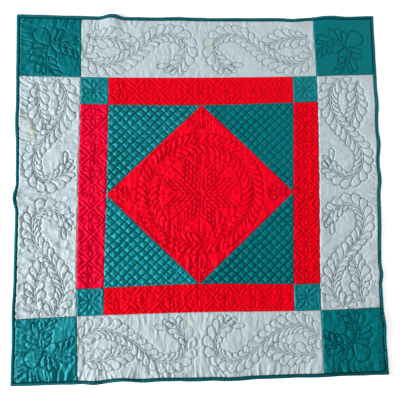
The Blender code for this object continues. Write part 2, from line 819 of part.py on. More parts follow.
def add_object(name, points, faces, material):
    mesh = bpy.data.meshes.new(name)
    mesh.from_pydata([tuple(p) for p in points], [], [tuple(int(k) for k in f) for f in faces])
    mesh.validate()
    mesh.materials.append(material)
    mesh.shade_smooth()
    mesh.set_sharp_from_angle(angle=math.radians(14))
    obj = bpy.data.objects.new(name, mesh)
    bpy.context.scene.collection.objects.link(obj)
    return obj


def raised(flat, height):
    """World points of flat points at a height above the cloth's underside."""
    points = laid(flat)
    points[:, 2] += height
    return points


def build_patch(patch, edges, ring, runs, material):
    """One patch: a thin solid with its quilting raised on top. Returns its underside's net."""
    flat, faces, height = face_net(patch, edges, ring, runs)
    low_flat, low_faces = underside_net(ring, patch.outline, edges)
    top = raised(drawn_in(flat, edges, CLEARANCE / 2), height)
    bottom = raised(drawn_in(low_flat, edges, CLEARANCE / 2), PATCH_UNDERSIDE)
    top[:, 2] += laid(flat)[:, 2] - laid(drawn_in(flat, edges, CLEARANCE / 2))[:, 2]
    points, skin = closed_solid((flat, faces, top), (low_flat, low_faces, bottom))
    add_object(patch.name, points, skin, material)
    return low_flat, low_faces


def join_nets(nets):
    """The undersides of all the patches as one net."""
    index, flat, faces = {}, [], []
    for net_flat, net_faces in nets:
        for face in net_faces:
            corners = []
            for k in face:
                key = key_of(net_flat[k])
                if key not in index:
                    index[key] = len(flat)
                    flat.append(net_flat[k])
                corners.append(index[key])
            faces.append(corners)
    return np.array(flat), np.array(faces)


def build_back(nets, net, material):
    """The back with its wadding: one sheet under all the patches, flat on the floor."""
    flat, faces = join_nets(nets)
    outline = rectangle(-OUTER_HALF, -OUTER_HALF, OUTER_HALF, OUTER_HALF)
    edges = edges_of(outline)
    ring = net.ring(edges)
    low_flat, low_faces = underside_net(ring, outline, edges)
    top = raised(drawn_in(flat, edges, CLEARANCE / 2), BACK_TOP)
    bottom = raised(drawn_in(low_flat, edges, CLEARANCE / 2), 0.0)
    points, skin = closed_solid((flat, faces, top), (low_flat, low_faces, bottom))
    add_object("quilt_back", points, skin, material)


def build_binding(quarters, side, net, material):
    """One strip of binding along a side, mitred at both ends."""
    corner = OUTER_HALF
    start, end = turned([(-corner, corner), (corner, corner)], quarters)
    inward = turned([(0.0, -1.0)], quarters)[0]
    row = np.array(net.on_edge(start, end, inward))
    rest = turned(row, (4 - quarters) % 4)[:, 0] / corner
    points, faces = [], []
    for share, height in BINDING_SECTION:
        out = corner + CLEARANCE / 2 + share * (BINDING_WIDTH - CLEARANCE / 2)
        flat = np.stack([rest * (out - CLEARANCE / 2), np.full(len(rest), out)], axis=1)
        points.append(raised(turned(flat, quarters), height))
    count, around = len(rest), len(BINDING_SECTION)
    for k in range(around):
        after = (k + 1) % around
        for i in range(count - 1):
            a, b = k * count + i, after * count + i
            faces.append((a, b, b + 1, a + 1))
    faces.append(tuple(k * count for k in reversed(range(around))))
    faces.append(tuple(k * count + count - 1 for k in range(around)))
    add_object("binding_" + side, np.vstack(points), faces, material)


def build():
    clear_scene()
    materials = make_materials()
    top = patches()
    outlines = [edges_of(patch.outline) for patch in top]
    net = SeamNet()
    for patch in top:
        for corner in patch.outline:
            net.add(corner)
    stitches = [fit_to_seams(patch, edges, net) for patch, edges in zip(top, outlines)]
    for edges in outlines:
        net.fill(edges)
    undersides = []
    for patch, edges, runs in zip(top, outlines, stitches):
        ring = net.ring(edges)
        undersides.append(build_patch(patch, edges, ring, runs, materials[patch.cloth]))
    build_back(undersides, net, materials["back_cotton"])
    for quarters, side in enumerate(SIDES):
        build_binding(quarters, side, net, materials["binding_cotton"])


build()
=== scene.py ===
"""The amish quilt as it looks: cotton patches over wadding, drawn down by hand quilting.

The pattern is worked out flat, as the maker marks it. A grid over the flat quilt then
holds how far each place stands from the nearest stitch line, and from that the cloth's
puffs and puckers. laid() moves every point to where the cloth really lies.
"""

import math
from collections import namedtuple

import bpy
import numpy as np
from mathutils import Matrix, Vector
from numpy.linalg import norm


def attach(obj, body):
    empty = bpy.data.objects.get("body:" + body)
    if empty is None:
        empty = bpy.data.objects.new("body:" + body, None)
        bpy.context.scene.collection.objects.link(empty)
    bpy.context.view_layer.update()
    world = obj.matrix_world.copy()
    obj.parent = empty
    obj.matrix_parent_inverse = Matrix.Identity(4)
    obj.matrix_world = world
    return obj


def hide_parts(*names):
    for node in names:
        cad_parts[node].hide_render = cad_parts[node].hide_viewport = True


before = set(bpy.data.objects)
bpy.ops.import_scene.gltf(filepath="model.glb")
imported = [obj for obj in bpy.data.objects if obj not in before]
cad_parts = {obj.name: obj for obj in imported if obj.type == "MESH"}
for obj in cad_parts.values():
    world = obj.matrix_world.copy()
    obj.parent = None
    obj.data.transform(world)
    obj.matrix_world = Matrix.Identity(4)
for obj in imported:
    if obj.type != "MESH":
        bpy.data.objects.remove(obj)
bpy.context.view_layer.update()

# Sizes across the quilt, from the middle outwards
CENTRE_HALF = 0.270
INNER_BORDER = 0.079
OUTER_BORDER = 0.1745
BINDING_WIDTH = 0.010
INNER_HALF = CENTRE_HALF + INNER_BORDER
OUTER_HALF = INNER_HALF + OUTER_BORDER
QUILT_HALF = OUTER_HALF + BINDING_WIDTH
MIDDLE_EAST = -0.0010
MIDDLE_NORTH = 0.0008

# Heights above the floor: of the cloth in a stitch line and in a seam, of the edge turned
# down there, of the back at its lowest, and of the floor that is drawn
STITCH_HEIGHT = 0.0026
SEAM_HEIGHT = 0.0024
SKIRT_HEIGHT = 0.0018
BACK_HEIGHT = 0.0001
FLOOR_HEIGHT = -0.0005

# How the wadding lifts the cloth: a soft dome over a facet that slopes up from the stitches
LOFT = 0.0030
FACET = 0.0004
TRIANGLE_LOFT = 0.0037
TRIANGLE_FACET = 0.0014
FACET_RUN = 0.010
TRIANGLE_FACET_RUN = 0.0095
LOFT_SPREAD = 0.0014
LOFT_CHANGE = 0.22
LOFT_CHANGE_SPACING = 0.045
LEAST_RISE = 0.0002
STITCHED_RISE = 0.0003
SEAM_LIFT = 0.0014
SEAM_LIFT_REACH = 0.0040
SEAM_GAP = 0.00015
SKIRT_GAP = 0.0002
BACK_RISE = 0.0009
BACK_RISE_REACH = 0.003

# Waves that the stitches and seams draw up: height, spacing, and reach from their line
Wave = namedtuple("Wave", "height spacing reach")
PINCH = Wave(0.00012, 0.0052, 0.0022)
PUCKER = Wave(0.0014, 0.0062, 0.0085)
SEAM_GATHER = Wave(0.0014, 0.0042, 0.009)
RIM_GATHER = Wave(0.0012, 0.0042, 0.006)
RIM_RIDGE = Wave(0.0034, 0.0098, 0.030)

# How the ridges and gathers splay and sway as they run in, and how the ridges' reach changes
RIDGE_SPLAY = 0.70
RIDGE_SWAY = 0.0012
RIDGE_REACH_CHANGE = 0.014
GATHER_SPLAY = 0.12

# Creases of the loose cloth from wide to narrow, how far they stray from straight, and over
# what width they turn towards another rim
Crease = namedtuple("Crease", "spacing height seed")
CREASES = (Crease(0.016, 0.0020, 13), Crease(0.0085, 0.0013, 15), Crease(0.0050, 0.0005, 17))
CREASE_STRAY = 0.004
CREASE_STRAY_SPACING = 0.019
CREASE_TURN = 0.025

# How much higher some pieces puff than the others
RELIEF = {
    "center_diamond": 1.14,
    "inner_strip_north": 0.75, "inner_strip_east": 1.28,
    "inner_strip_south": 0.80, "inner_strip_west": 1.45,
    "outer_strip_north": 0.68, "outer_strip_east": 1.15,
    "outer_strip_south": 0.74, "outer_strip_west": 0.98,
    "outer_corner_northeast": 1.25, "outer_corner_southeast": 1.65,
    "outer_corner_southwest": 1.28, "outer_corner_northwest": 1.15,
    "triangle_northeast": 0.85, "triangle_southeast": 1.10,
    "triangle_southwest": 1.25, "triangle_northwest": 1.25,
}

# How crumpled a triangle is, and other patches that aren't as the rest are
TRIANGLE_LOOSE = 0.5
LOOSE = {"center_diamond": 1.5, "outer_strip_south": 0.8, "outer_corner_southwest": 0.65}

# The grid over the flat quilt: its cell, how far a line is felt, and the rounds of rising
CELL = 0.001
REACH = 0.022
ROUNDS = 90

# Lengths left between one seam or line and the next, to put their waves out of step
SEAM_STEP = 0.731
LINE_STEP = 0.137

# What counts as touching an edge, and as lying on it
TOUCH = 1e-6
ON_EDGE = 1e-5

# The width of the faces of the cloth, and how many rows of them a crosshatch cell has
PITCH = 0.0018
CORNER_PITCH = 0.0019
BACK_PITCH = 0.008
FACES_PER_CELL = 12

# Crosshatch and strip quilting
CELLS_PER_LEG = 10
DIAMONDS_PER_STRIP = 7
CHEVRON_INSET = 0.016
ROSETTE_REACH = 0.026
ROSETTE_WIDTH = 0.014
CORNER_PETAL_REACH = 0.036
CORNER_PETAL_WIDTH = 0.016

# The star and its feather wreath in the centre diamond
STAR_POINTS = 8
STAR_REACH = 0.116
STAR_DIVISIONS = 4
Wreath = namedtuple("Wreath", "lobes root notch lean side")
WREATH = (
    Wreath(lobes=60, root=0.1545, notch=0.177, lean=-0.125, side=-1),
    Wreath(lobes=44, root=0.1490, notch=0.127, lean=-0.185, side=1),
)

# Feather plumes of one half of an outer strip. A knot is a place on the spine, its run from
# the strip's end and its rise from the inner seam, with the reach of the lobes on each side,
# all in millimetres
Knot = namedtuple("Knot", "run rise left right")
MAIN_PLUME = (
    Knot(6, 72, 26, 20), Knot(26, 53, 33, 29), Knot(52, 39, 34, 31), Knot(82, 38, 32, 34),
    Knot(110, 47, 26, 34), Knot(136, 60, 26, 30), Knot(160, 77, 25, 28), Knot(186, 99, 25, 28),
    Knot(212, 121, 28, 28), Knot(238, 131, 29, 29), Knot(264, 133, 26, 32), Knot(288, 126, 26, 26),
    Knot(304, 110, 26, 20), Knot(309, 88, 28, 24), Knot(302, 64, 28, 30), Knot(290, 46, 26, 34),
    Knot(281, 30, 20, 26),
)
BRANCH_PLUME = (
    Knot(18, 128, 20, 16), Knot(40, 119, 28, 24), Knot(60, 119, 34, 30), Knot(80, 122, 32, 31),
    Knot(100, 116, 31, 29), Knot(120, 110, 29, 24), Knot(138, 102, 26, 14), Knot(152, 91, 22, 10),
)
PLUME_PITCH = 0.0205
PLUME_SPREAD = 0.69
PLUME_LEAN = 0.74
STEM_WIDTH = 0.0050
LOBE_ROUNDNESS = 0.43
MOTIF_ROOM = 0.75

# How far the quilting strays from the pattern, being marked and sewn by hand, at what
# spacing, and how far apart the points are by which it does so
DRIFT = 0.0020
DRIFT_SPACING = 0.037
FINE_DRIFT_SPACING = 0.013
FINE_DRIFT_SHARE = 0.35
DRIFT_STEP = 0.006
DRIFT_MARGIN = 0.003
DRIFT_LEAST_STEP = 0.002

# A leaf or petal is a teardrop from its base to its tip
Leaf = namedtuple("Leaf", "base tip width")


def leaf(*millimetres):
    """A leaf, given the coordinates of its base and of its tip, and its width."""
    u, v, tip_u, tip_v, width = (value / 1000 for value in millimetres)
    return Leaf((u, v), (tip_u, tip_v), width)


# The leaves of a strip are measured as its plumes, those of an outer corner from the block's
# inner corner, and those of a tip from the middle
STRIP_LEAVES = (
    leaf(8, 77, 12, 108, 17), leaf(15, 74, 39, 93, 18), leaf(264, 41, 221, 37, 15),
    leaf(274, 34, 243, 19, 16), leaf(280, 31, 262, 12, 16),
)
FLOWER_PETALS = (
    leaf(95, 88, 141, 127, 48), leaf(96, 86, 79, 42, 30), leaf(92, 89, 50, 78, 27),
)
SPRAY_LEAVES = (
    leaf(91, 99, 91, 137, 21), leaf(83, 102, 71, 147, 18), leaf(73, 105, 50, 143, 17),
    leaf(62, 107, 11, 122, 19), leaf(42, 102, 6, 105, 12), leaf(60, 94, 36, 69, 18),
    leaf(43, 92, 20, 63, 16), leaf(24, 85, 7, 54, 14),
)
SPRAY_STEM = np.array(((94, 94), (70, 100), (45, 98), (22, 88), (4, 74))) / 1000
TIP_LEAVES = (
    leaf(4, 257, 11, 247, 7), leaf(4, 249, 24, 238, 12), leaf(4, 236, 30, 224, 13),
    leaf(4, 222, 22, 210, 11), leaf(3, 209, 11, 199, 8),
)
TIP_STEM = np.array(((3.5, 198), (3.5, 257))) / 1000

# Rows of light grey stitches along the western seams, a painted highlight on their lit edges: start and
# end on the flat quilt
SEAM_ROWS = (
    ((0.0, CENTRE_HALF), (-CENTRE_HALF, 0.0)),
    ((-CENTRE_HALF, 0.0), (0.0, -CENTRE_HALF)),
    ((-CENTRE_HALF, CENTRE_HALF), (-CENTRE_HALF, -CENTRE_HALF)),
    ((-INNER_HALF, CENTRE_HALF), (-INNER_HALF, -CENTRE_HALF)),
)

# How far the long lines of the quilt stray from square, in millimetres: a row for each line,
# from the west or south to the east or north, with its value at each station along it
LINES = (-QUILT_HALF, -INNER_HALF, -CENTRE_HALF, CENTRE_HALF, INNER_HALF, QUILT_HALF)
STATIONS = (-QUILT_HALF, -0.310, 0.0, 0.310, QUILT_HALF)
STRAY_EAST = (
    (-5, -2, 1, -2, -3), (-3, -7, -4, 2, 3), (-5, -9, -2, 4, 3),
    (-1, -2, 5, 13, 7), (-1, -4, 3, 7, 1), (5, -4, 3, 6, 4),
)
STRAY_NORTH = (
    (-5, -4, -4, -1, 1), (-5, 1, 5, 3, 8), (-3, -1, 6, 1, 6), (-2, -6, -9, -1, 3),
    (1, -4, -5, -1, 5), (3, -2, -5, -3, 4),
)

# Soft humps in the rim, in millimetres: where along the side, how far out and up, and half
# their length
Hump = namedtuple("Hump", "at out rise half")
HUMP_DEPTH = 0.110
HUMPS = {
    "north": (
        Hump(-260, 6, 9, 42), Hump(-62, 0, 4, 70), Hump(285, -5, 5, 55), Hump(395, 3, 5, 60),
    ),
    "east": (
        Hump(262, 1, 5, 55), Hump(135, 2, 6, 50), Hump(30, 3, 4, 45), Hump(-110, -1, 5, 60),
        Hump(-250, 3, 4, 38), Hump(-400, 1, 6, 55),
    ),
    "south": (
        Hump(330, 0, 5, 70), Hump(90, 2, 4, 66), Hump(-100, -3, 3, 80), Hump(-225, -6, 7, 62),
        Hump(-300, 2, 5, 40),
    ),
    "west": (
        Hump(-330, 1, 5, 70), Hump(-8, 6, 9, 44), Hump(215, 1, 4, 65),
    ),
}

SIDES = ("north", "east", "south", "west")
CORNERS = ("northeast", "southeast", "southwest", "northwest")

# The binding from its seam on the back round the rim to its seam on the top: the share of
# its width at which a point lies, and its height. It is puckered and swells from some height
Fold = namedtuple("Fold", "share height")
BINDING_SECTION = (
    Fold(0.00, 0.0002), Fold(0.45, 0.0001), Fold(0.80, 0.0004), Fold(0.96, 0.0014),
    Fold(1.00, 0.0027), Fold(0.95, 0.0042), Fold(0.80, 0.0056), Fold(0.58, 0.0065),
    Fold(0.34, 0.0064), Fold(0.14, 0.0052), Fold(0.02, 0.0036), Fold(0.00, 0.0022),
)
BINDING_TOP = max(fold.height for fold in BINDING_SECTION)
BINDING_STEPS = 800
BINDING_PUCKER = 0.0076
BINDING_PUCKER_SLANT = 0.002
BINDING_STRAY = 0.0030
SWELLS_ABOVE = 0.0020

# How light each binding is, before and after the change towards its end, going clockwise.
# The change runs between two shares of the way from its middle to that end
BINDING_TONE = {
    "north": (0.80, 0.80), "east": (1.00, 1.00), "south": (0.38, 0.90), "west": (0.80, 0.80),
}
TONE_CHANGE = (0.6, 0.9)

# Hand stitches: the spacing, the share of it at which the thread comes up and goes down, and
# how far the ends, the sides, the top and the foot of a thread stand over its height. Its
# faces join these six corners
STITCH_SPACING = 0.0052
STITCH_ENDS = (0.2, 0.8)
THREAD_RISES = (0.0, 0.0, 0.00018, 0.00018, 0.00045, -0.0001)
THREAD_FACES = (
    (0, 3, 4), (3, 1, 4), (1, 2, 4), (2, 0, 4),
    (3, 0, 5), (1, 3, 5), (2, 1, 5), (0, 2, 5),
)
Thread = namedtuple("Thread", "colour half_width height")
THREADS = {
    "red": Thread((0.16, 0.001, 0.006), 0.00032, STITCH_HEIGHT + 0.00012),
    "teal": Thread((0.000, 0.070, 0.076), 0.00032, STITCH_HEIGHT + 0.00012),
    # The light teal thread of the western triangles stands for a painted highlight on the lit sides of
    # their stitch lines
    "light_teal": Thread((0.020, 0.300, 0.320), 0.0006, STITCH_HEIGHT + 0.0007),
    # The light grey seam thread stands for a painted highlight along the lit western seams
    "seam_highlight": Thread((0.46, 0.50, 0.52), 0.00065, SEAM_HEIGHT + SEAM_LIFT + 0.0011),
    "grey": Thread((0.056, 0.068, 0.076), 0.00032, STITCH_HEIGHT + 0.00012),
}

# Cottons: the colour painted in shade down in the stitches, on the puffs and where it has faded, and
# how much of the light it gives back as a glint, and in which tint.
# The lit_ and shaded_ copies are painted lighter or darker for how the light falls across the quilt
Cotton = namedtuple("Cotton", "deep full faded gloss glint")
COTTONS = {
    "red": Cotton((0.3, 0, 0.0015), (0.515, 0, 0.004), (0.545, 0, 0.007), 0.22, (1, 0, 0.32)),
    "lit_red": Cotton((0.31, 0, 0.006), (0.535, 0, 0.013), (0.565, 0.001, 0.02), 0.22, (1, 0, 0.38)),
    "shaded_red": Cotton((0.27, 0, 0.0008), (0.475, 0, 0.0024), (0.505, 0, 0.004), 0.15, (1, 0, 0.28)),
    "teal": Cotton((0, 0.024, 0.028), (0, 0.078, 0.084), (0, 0.089, 0.097), 0.8, (0.05, 0.85, 1)),
    "lit_teal": Cotton((0, 0.032, 0.036), (0, 0.099, 0.107), (0, 0.111, 0.121), 0.82, (0.05, 0.85, 1)),
    "shaded_teal": Cotton((0, 0.019, 0.022), (0, 0.072, 0.08), (0, 0.083, 0.092), 0.34, (0, 0.8, 0.92)),
    "grey": Cotton((0.06, 0.08, 0.088), (0.283, 0.324, 0.332), (0.303, 0.344, 0.352), 0.04, (1, 1, 1)),
    "binding": Cotton((0, 0.01, 0.012), (0, 0.05, 0.056), (0, 0.066, 0.074), 0.48, (0, 0.75, 0.9)),
    "back": Cotton((0.32, 0.35, 0.35), (0.45, 0.48, 0.48), (0.48, 0.5, 0.5), 0.03, (1, 1, 1)),
}
WEAVE_SCALE = 330
WEAVE_DEPTH = 0.0003
BLACK, WHITE = (0, 0, 0), (1, 1, 1)

# Old water stains on the grey strips
Stain = namedtuple("Stain", "east north half_width half_length")
STAINS = (
    Stain(-0.490, 0.183, 0.022, 0.028), Stain(0.029, 0.440, 0.010, 0.032),
    Stain(-0.042, -0.370, 0.011, 0.030),
)
STAIN_COLOUR = (0.275, 0.290, 0.215)

# Patches whose cotton is painted lighter or darker than the others' for how the light falls on them,
# and those sewn in light teal thread as a painted highlight on their stitch lines
LIT = ("inner_strip_west", "triangle_southwest")
SHADED = (
    "inner_strip_north", "inner_strip_east", "inner_strip_south", "outer_corner_northwest",
    "outer_corner_northeast", "outer_corner_southeast", "triangle_northeast",
    "triangle_southeast",
)
HIGHLIT_SEWN = ("triangle_northwest", "triangle_southwest")

# The studio
Lamp = namedtuple("Lamp", "name place aim size power colour")
LAMPS = (
    Lamp("key", (-4.0, -0.70, 1.38), (0.0, 0.0, 0.0), 1.0, 570, (0.92, 1.0, 1.08)),
    Lamp("fill", (2.2, 1.6, 2.0), (0.2, 0.1, 0.0), 2.6, 80, (1.0, 1.0, 1.0)),
)
WORLD_STRENGTH = 0.60
FLOOR_HALF = 6
FLOOR_COLOUR = (0.96, 0.96, 0.96)
CAMERA_PLACE = (-0.0765 + MIDDLE_EAST, -0.1625 + MIDDLE_NORTH, 1.590)
CAMERA_FORWARD = (0.04751, 0.08838, -0.99495)
CAMERA_UP = (0.01036, 0.99598, 0.08896)
CAMERA_LENS = 49.2
CAMERA_SENSOR = 36


def eased(t):
    """A share from 0 to 1 that starts and ends gently."""
    return t * t * (3 - 2 * t)


def smooth_noise(places, spacing, seed):
    """A smooth random curve between -1 and 1, read at each place."""
    values = np.random.default_rng(seed).uniform(-1, 1, 4096)
    scaled = np.asarray(places) / spacing
    cell = np.floor(scaled).astype(int)
    t = eased(scaled - cell)
    return values[cell % 4096] * (1 - t) + values[(cell + 1) % 4096] * t


def between_cells(grid, i, j, s, t):
    """A grid's value at the shares s and t of the way from cell i, j to the next ones."""
    low = grid[i, j] * (1 - s) + grid[i + 1, j] * s
    high = grid[i, j + 1] * (1 - s) + grid[i + 1, j + 1] * s
    return low * (1 - t) + high * t


def cloud(u, v, spacing, seed):
    """A smooth random surface between -1 and 1, read at each place."""
    values = np.random.default_rng(seed).uniform(-1, 1, (256, 256))
    x, y = u / spacing + 128.37, v / spacing + 128.61
    i, j = np.floor(x).astype(int), np.floor(y).astype(int)
    return between_cells(values, i % 255, j % 255, eased(x - i), eased(y - j))


def distances(line):
    """How far along a line each of its points is."""
    return np.concatenate([[0], np.cumsum(norm(np.diff(line, axis=0), axis=1))])


def points_at(line, places):
    """The points of a line at these distances along it."""
    return np.stack([np.interp(places, distances(line), column) for column in line.T], axis=1)


def leftward(ahead):
    """A direction, or each of many, turned a quarter to the left."""
    return np.stack([-ahead[..., 1], ahead[..., 0]], axis=-1)


def through_stations(row, places):
    """A smooth curve through the five values of a row of strays, read at each place."""
    stations = np.array(STATIONS)
    values = np.array(row) / 1000
    slopes = np.gradient(values, stations)
    places = np.clip(places, stations[0], stations[-1])
    cell = np.clip(np.searchsorted(stations, places) - 1, 0, len(stations) - 2)
    width = stations[cell + 1] - stations[cell]
    t = (places - stations[cell]) / width
    rise = (values[cell + 1] - values[cell]) * (3 * t**2 - 2 * t**3)
    ease = (slopes[cell] * (t - 2 * t**2 + t**3) + slopes[cell + 1] * (t**3 - t**2)) * width
    return values[cell] + rise + ease


def stray(table, across, along):
    """How far the cloth strays at these places, read between the lines of a table."""
    lines = np.array(LINES)
    strays = np.stack([through_stations(row, along) for row in table])
    cell = np.clip(np.searchsorted(lines, across) - 1, 0, len(lines) - 2)
    t = np.clip((across - lines[cell]) / (lines[cell + 1] - lines[cell]), 0.0, 1.0)
    index = np.arange(len(across))
    return strays[cell, index] * (1 - t) + strays[cell + 1, index] * t


def laid(flat):
    """Where points of the flat quilt lie: east, north, and how far the cloth is lifted."""
    flat = np.asarray(flat, float)
    u, v = flat[:, 0], flat[:, 1]
    east = u + stray(STRAY_EAST, u, v) + MIDDLE_EAST
    north = v + stray(STRAY_NORTH, v, u) + MIDDLE_NORTH
    lift = np.zeros(len(flat))
    ways = {"north": (u, v, north, 1), "east": (v, u, east, 1),
            "south": (u, v, north, -1), "west": (v, u, east, -1)}
    for side, humps in HUMPS.items():
        along, across, moved, sign = ways[side]
        near = np.clip(1 - (QUILT_HALF - sign * across) / HUMP_DEPTH, 0.0, 1.0) ** 2
        for hump in humps:
            at, out, rise, half = (value / 1000 for value in hump)
            share = np.clip((along - at) / half, -1, 1)
            swell = np.cos(share * math.pi / 2) ** 2 * near
            lift += rise * swell
            moved += sign * out * swell
    return np.stack([east, north, lift], axis=1)


def turned(points, quarters):
    """The points turned clockwise by so many quarter turns."""
    u, v = np.asarray(points, float).reshape(-1, 2).T
    for _ in range(quarters):
        u, v = v, -u
    return np.stack([u, v], axis=1)


def smooth_route(points, steps):
    """Evenly spaced points on a smooth curve through a hand-drawn route."""
    knots = np.array(points, float)
    padded = np.vstack([2 * knots[0] - knots[1], knots, 2 * knots[-1] - knots[-2]])
    t = np.linspace(0, 1, 16, endpoint=False)[:, None]
    spans = []
    for p0, p1, p2, p3 in zip(padded, padded[1:], padded[2:], padded[3:]):
        curve = 2 * p1 + (p2 - p0) * t + (2 * p0 - 5 * p1 + 4 * p2 - p3) * t**2
        spans.append((curve + (3 * p1 - p0 - 3 * p2 + p3) * t**3) / 2)
    fine = np.vstack([*spans, knots[-1:]])
    return points_at(fine, np.linspace(0, distances(fine)[-1], steps + 1))


class Quilting:
    """The stitch lines of one patch, and the places that its motifs take up."""

    def __init__(self):
        self.lines = []
        self.taken = []

    def sew(self, points):
        self.lines.append(np.array(points, float))

    def claim(self, centre, radius):
        """True, and the place is marked as taken, if no earlier motif is there."""
        for other, size in self.taken:
            if norm(other - centre) < MOTIF_ROOM * (radius + size):
                return False
        self.taken.append((np.array(centre), radius))
        return True

    def join(self, other, mapping):
        """Adds another piece of quilting, moved by a mapping of its points."""
        self.lines += [mapping(line) for line in other.lines]


def half_oval(start, end, depth, steps):
    """A round scallop from start to end that bulges to the left by the given depth."""
    start, end = np.array(start), np.array(end)
    turn = np.linspace(math.pi, 0, steps + 1)[:, None]
    left = leftward(end - start) / norm(end - start)
    return (start + end) / 2 + np.cos(turn) * (end - start) / 2 + np.sin(turn) * depth * left


def swept(start, ahead, end, steps=5):
    """A divider that leaves a spine along it and swings out to the notch between two lobes."""
    t = np.linspace(0, 1, steps + 1)[:, None]
    bend = 0.62 * start + 0.38 * end + 0.45 * ahead
    return (1 - t) ** 2 * start + 2 * t * (1 - t) * bend + t**2 * end


def lobe_row(work, roots, ahead, notches, side):
    """A row of round lobes to one side, each between two dividers and closed by a scallop."""
    dividers = [swept(*ends) for ends in zip(roots, ahead, notches)]
    kept = []
    for i in range(len(roots) - 1):
        middle = (roots[i] + roots[i + 1] + 1.6 * (notches[i] + notches[i + 1])) / 5.2
        if work.claim(middle, 0.34 * norm(notches[i + 1] - notches[i])):
            kept.append(i)
    for i in kept:
        depth = side * LOBE_ROUNDNESS * norm(notches[i + 1] - notches[i])
        scallop = half_oval(notches[i], notches[i + 1], depth, 8)
        work.sew(np.vstack([dividers[i], scallop[1:]]))
        if i + 1 not in kept:
            work.sew(dividers[i + 1])


def plume(work, knots):
    """A feather plume: a spine with round lobes on both sides that lean towards its tip."""
    table = np.array(knots) / 1000
    length = norm(np.diff(table[:, :2], axis=0), axis=1)
    lobes = int(round(length.sum() / PLUME_PITCH))
    spine = smooth_route(table[:, :2], lobes)
    run = np.concatenate([[0], np.cumsum(length)]) / length.sum()
    ahead = np.gradient(spine, axis=0)
    forward = ahead / norm(ahead, axis=1)[:, None]
    left = leftward(forward)
    for side, column in ((1, 2), (-1, 3)):
        reach = np.interp(np.linspace(0, 1, lobes + 1), run, table[:, column])
        roots = spine + side * left * STEM_WIDTH / 2
        notches = spine + (PLUME_SPREAD * side * left + PLUME_LEAN * forward) * reach[:, None]
        work.sew(smooth_route(roots, 3 * lobes))
        lobe_row(work, roots, ahead, notches, side)


def teardrop(work, petal, steps=14):
    """A petal or leaf, pointed at its base and round at its tip."""
    base, tip = np.array(petal.base), np.array(petal.tip)
    along = tip - base
    across = leftward(along) / norm(along)
    turn = np.linspace(0, math.tau, steps + 1)
    far = np.outer((1 - np.cos(turn)) / 2, along)
    wide = np.outer(0.65 * petal.width * np.sin(turn) * np.sin(turn / 2), across)
    if work.claim(base + 0.6 * along, 0.4 * petal.width):
        work.sew(base + far + wide)


def rosette(work, centre, petals, reach, width, first_turn=0.0):
    """Petals set evenly round a point."""
    for k in range(petals):
        angle = first_turn + math.tau * k / petals
        out = np.array([math.cos(angle), math.sin(angle)])
        teardrop(work, Leaf(centre + 0.002 * out, centre + reach * out, width))


def crosshatch():
    """Square cells set on edge, for the triangle with its right angle in the northeast."""
    work = Quilting()
    step = CENTRE_HALF / CELLS_PER_LEG
    far = CENTRE_HALF
    for k in range(1, CELLS_PER_LEG):
        work.sew([(far, k * step), (k * step, far)])
    for k in range(1, 2 * CELLS_PER_LEG):
        reach = step * min(k, 2 * CELLS_PER_LEG - k)
        middle = k * step / 2
        start = np.array([middle, far - middle])
        work.sew([start, start + reach / 2])
    return work


def around(turn):
    """Points of the unit circle."""
    return np.stack([np.cos(turn), np.sin(turn)], axis=1)


def star_and_wreath():
    """The centre diamond's quilting: an eight-pointed star in a feather wreath."""
    work = Quilting()
    half_turn = math.pi / STAR_POINTS
    side = STAR_REACH / (2 * math.cos(half_turn))
    for k in range(STAR_POINTS):
        axis = half_turn * (2 * k + 1)
        first = side * np.array([math.cos(axis - half_turn), math.sin(axis - half_turn)])
        second = side * np.array([math.cos(axis + half_turn), math.sin(axis + half_turn)])
        for i in range(STAR_DIVISIONS + 1):
            share = i / STAR_DIVISIONS
            work.sew([first * share, first * share + second])
            work.sew([second * share, second * share + first])
        work.sew([first, first * STAR_REACH / side])
    for ring in WREATH:
        turn = np.linspace(0, math.tau, ring.lobes + 1)
        roots = ring.root * around(turn)
        ahead = np.roll(around(turn), -1, axis=1) * (-1, 1) * ring.root * ring.lean
        lobe_row(work, roots, ahead, ring.notch * around(turn + ring.lean), ring.side)
        work.sew(ring.root * around(np.linspace(0, math.tau, 160)))
    for quarter in range(4):
        for mirror in (1, -1):
            tip = Quilting()
            for tip_leaf in TIP_LEAVES:
                teardrop(tip, tip_leaf)
            tip.sew(TIP_STEM)
            work.join(tip, lambda points, m=mirror, q=quarter: turned(points * (m, 1), q))
    return work


def inner_strip_quilting():
    """Diamonds tip to tip with a rosette in each, for the north inner strip."""
    work = Quilting()
    pitch = 2 * CENTRE_HALF / DIAMONDS_PER_STRIP
    middle = CENTRE_HALF + INNER_BORDER / 2
    half = INNER_BORDER / 2
    for up in (1, -1):
        zigzag = [(-CENTRE_HALF, middle)]
        for k in range(DIAMONDS_PER_STRIP):
            zigzag.append((-CENTRE_HALF + (k + 0.5) * pitch, middle + up * half))
            zigzag.append((-CENTRE_HALF + (k + 1) * pitch, middle))
        work.sew(zigzag)
        for k in range(1, DIAMONDS_PER_STRIP):
            tip = np.array([-CENTRE_HALF + k * pitch, middle])
            rim = pitch / 2 - CHEVRON_INSET
            work.sew([
                tip + (-rim, up * half), tip + (0, up * CHEVRON_INSET), tip + (rim, up * half),
            ])
    for k in range(DIAMONDS_PER_STRIP):
        centre = np.array([-CENTRE_HALF + (k + 0.5) * pitch, middle])
        rosette(work, centre, 4, ROSETTE_REACH, ROSETTE_WIDTH)
    return work


def inner_corner_quilting():
    """Four long petals to the corners and four short ones between, for the northeast."""
    work = Quilting()
    centre = np.array([CENTRE_HALF + INNER_BORDER / 2] * 2)
    rosette(work, centre, 4, CORNER_PETAL_REACH * 1.25, CORNER_PETAL_WIDTH, math.pi / 4)
    rosette(work, centre, 4, CORNER_PETAL_REACH * 0.85, CORNER_PETAL_WIDTH * 0.8)
    return work


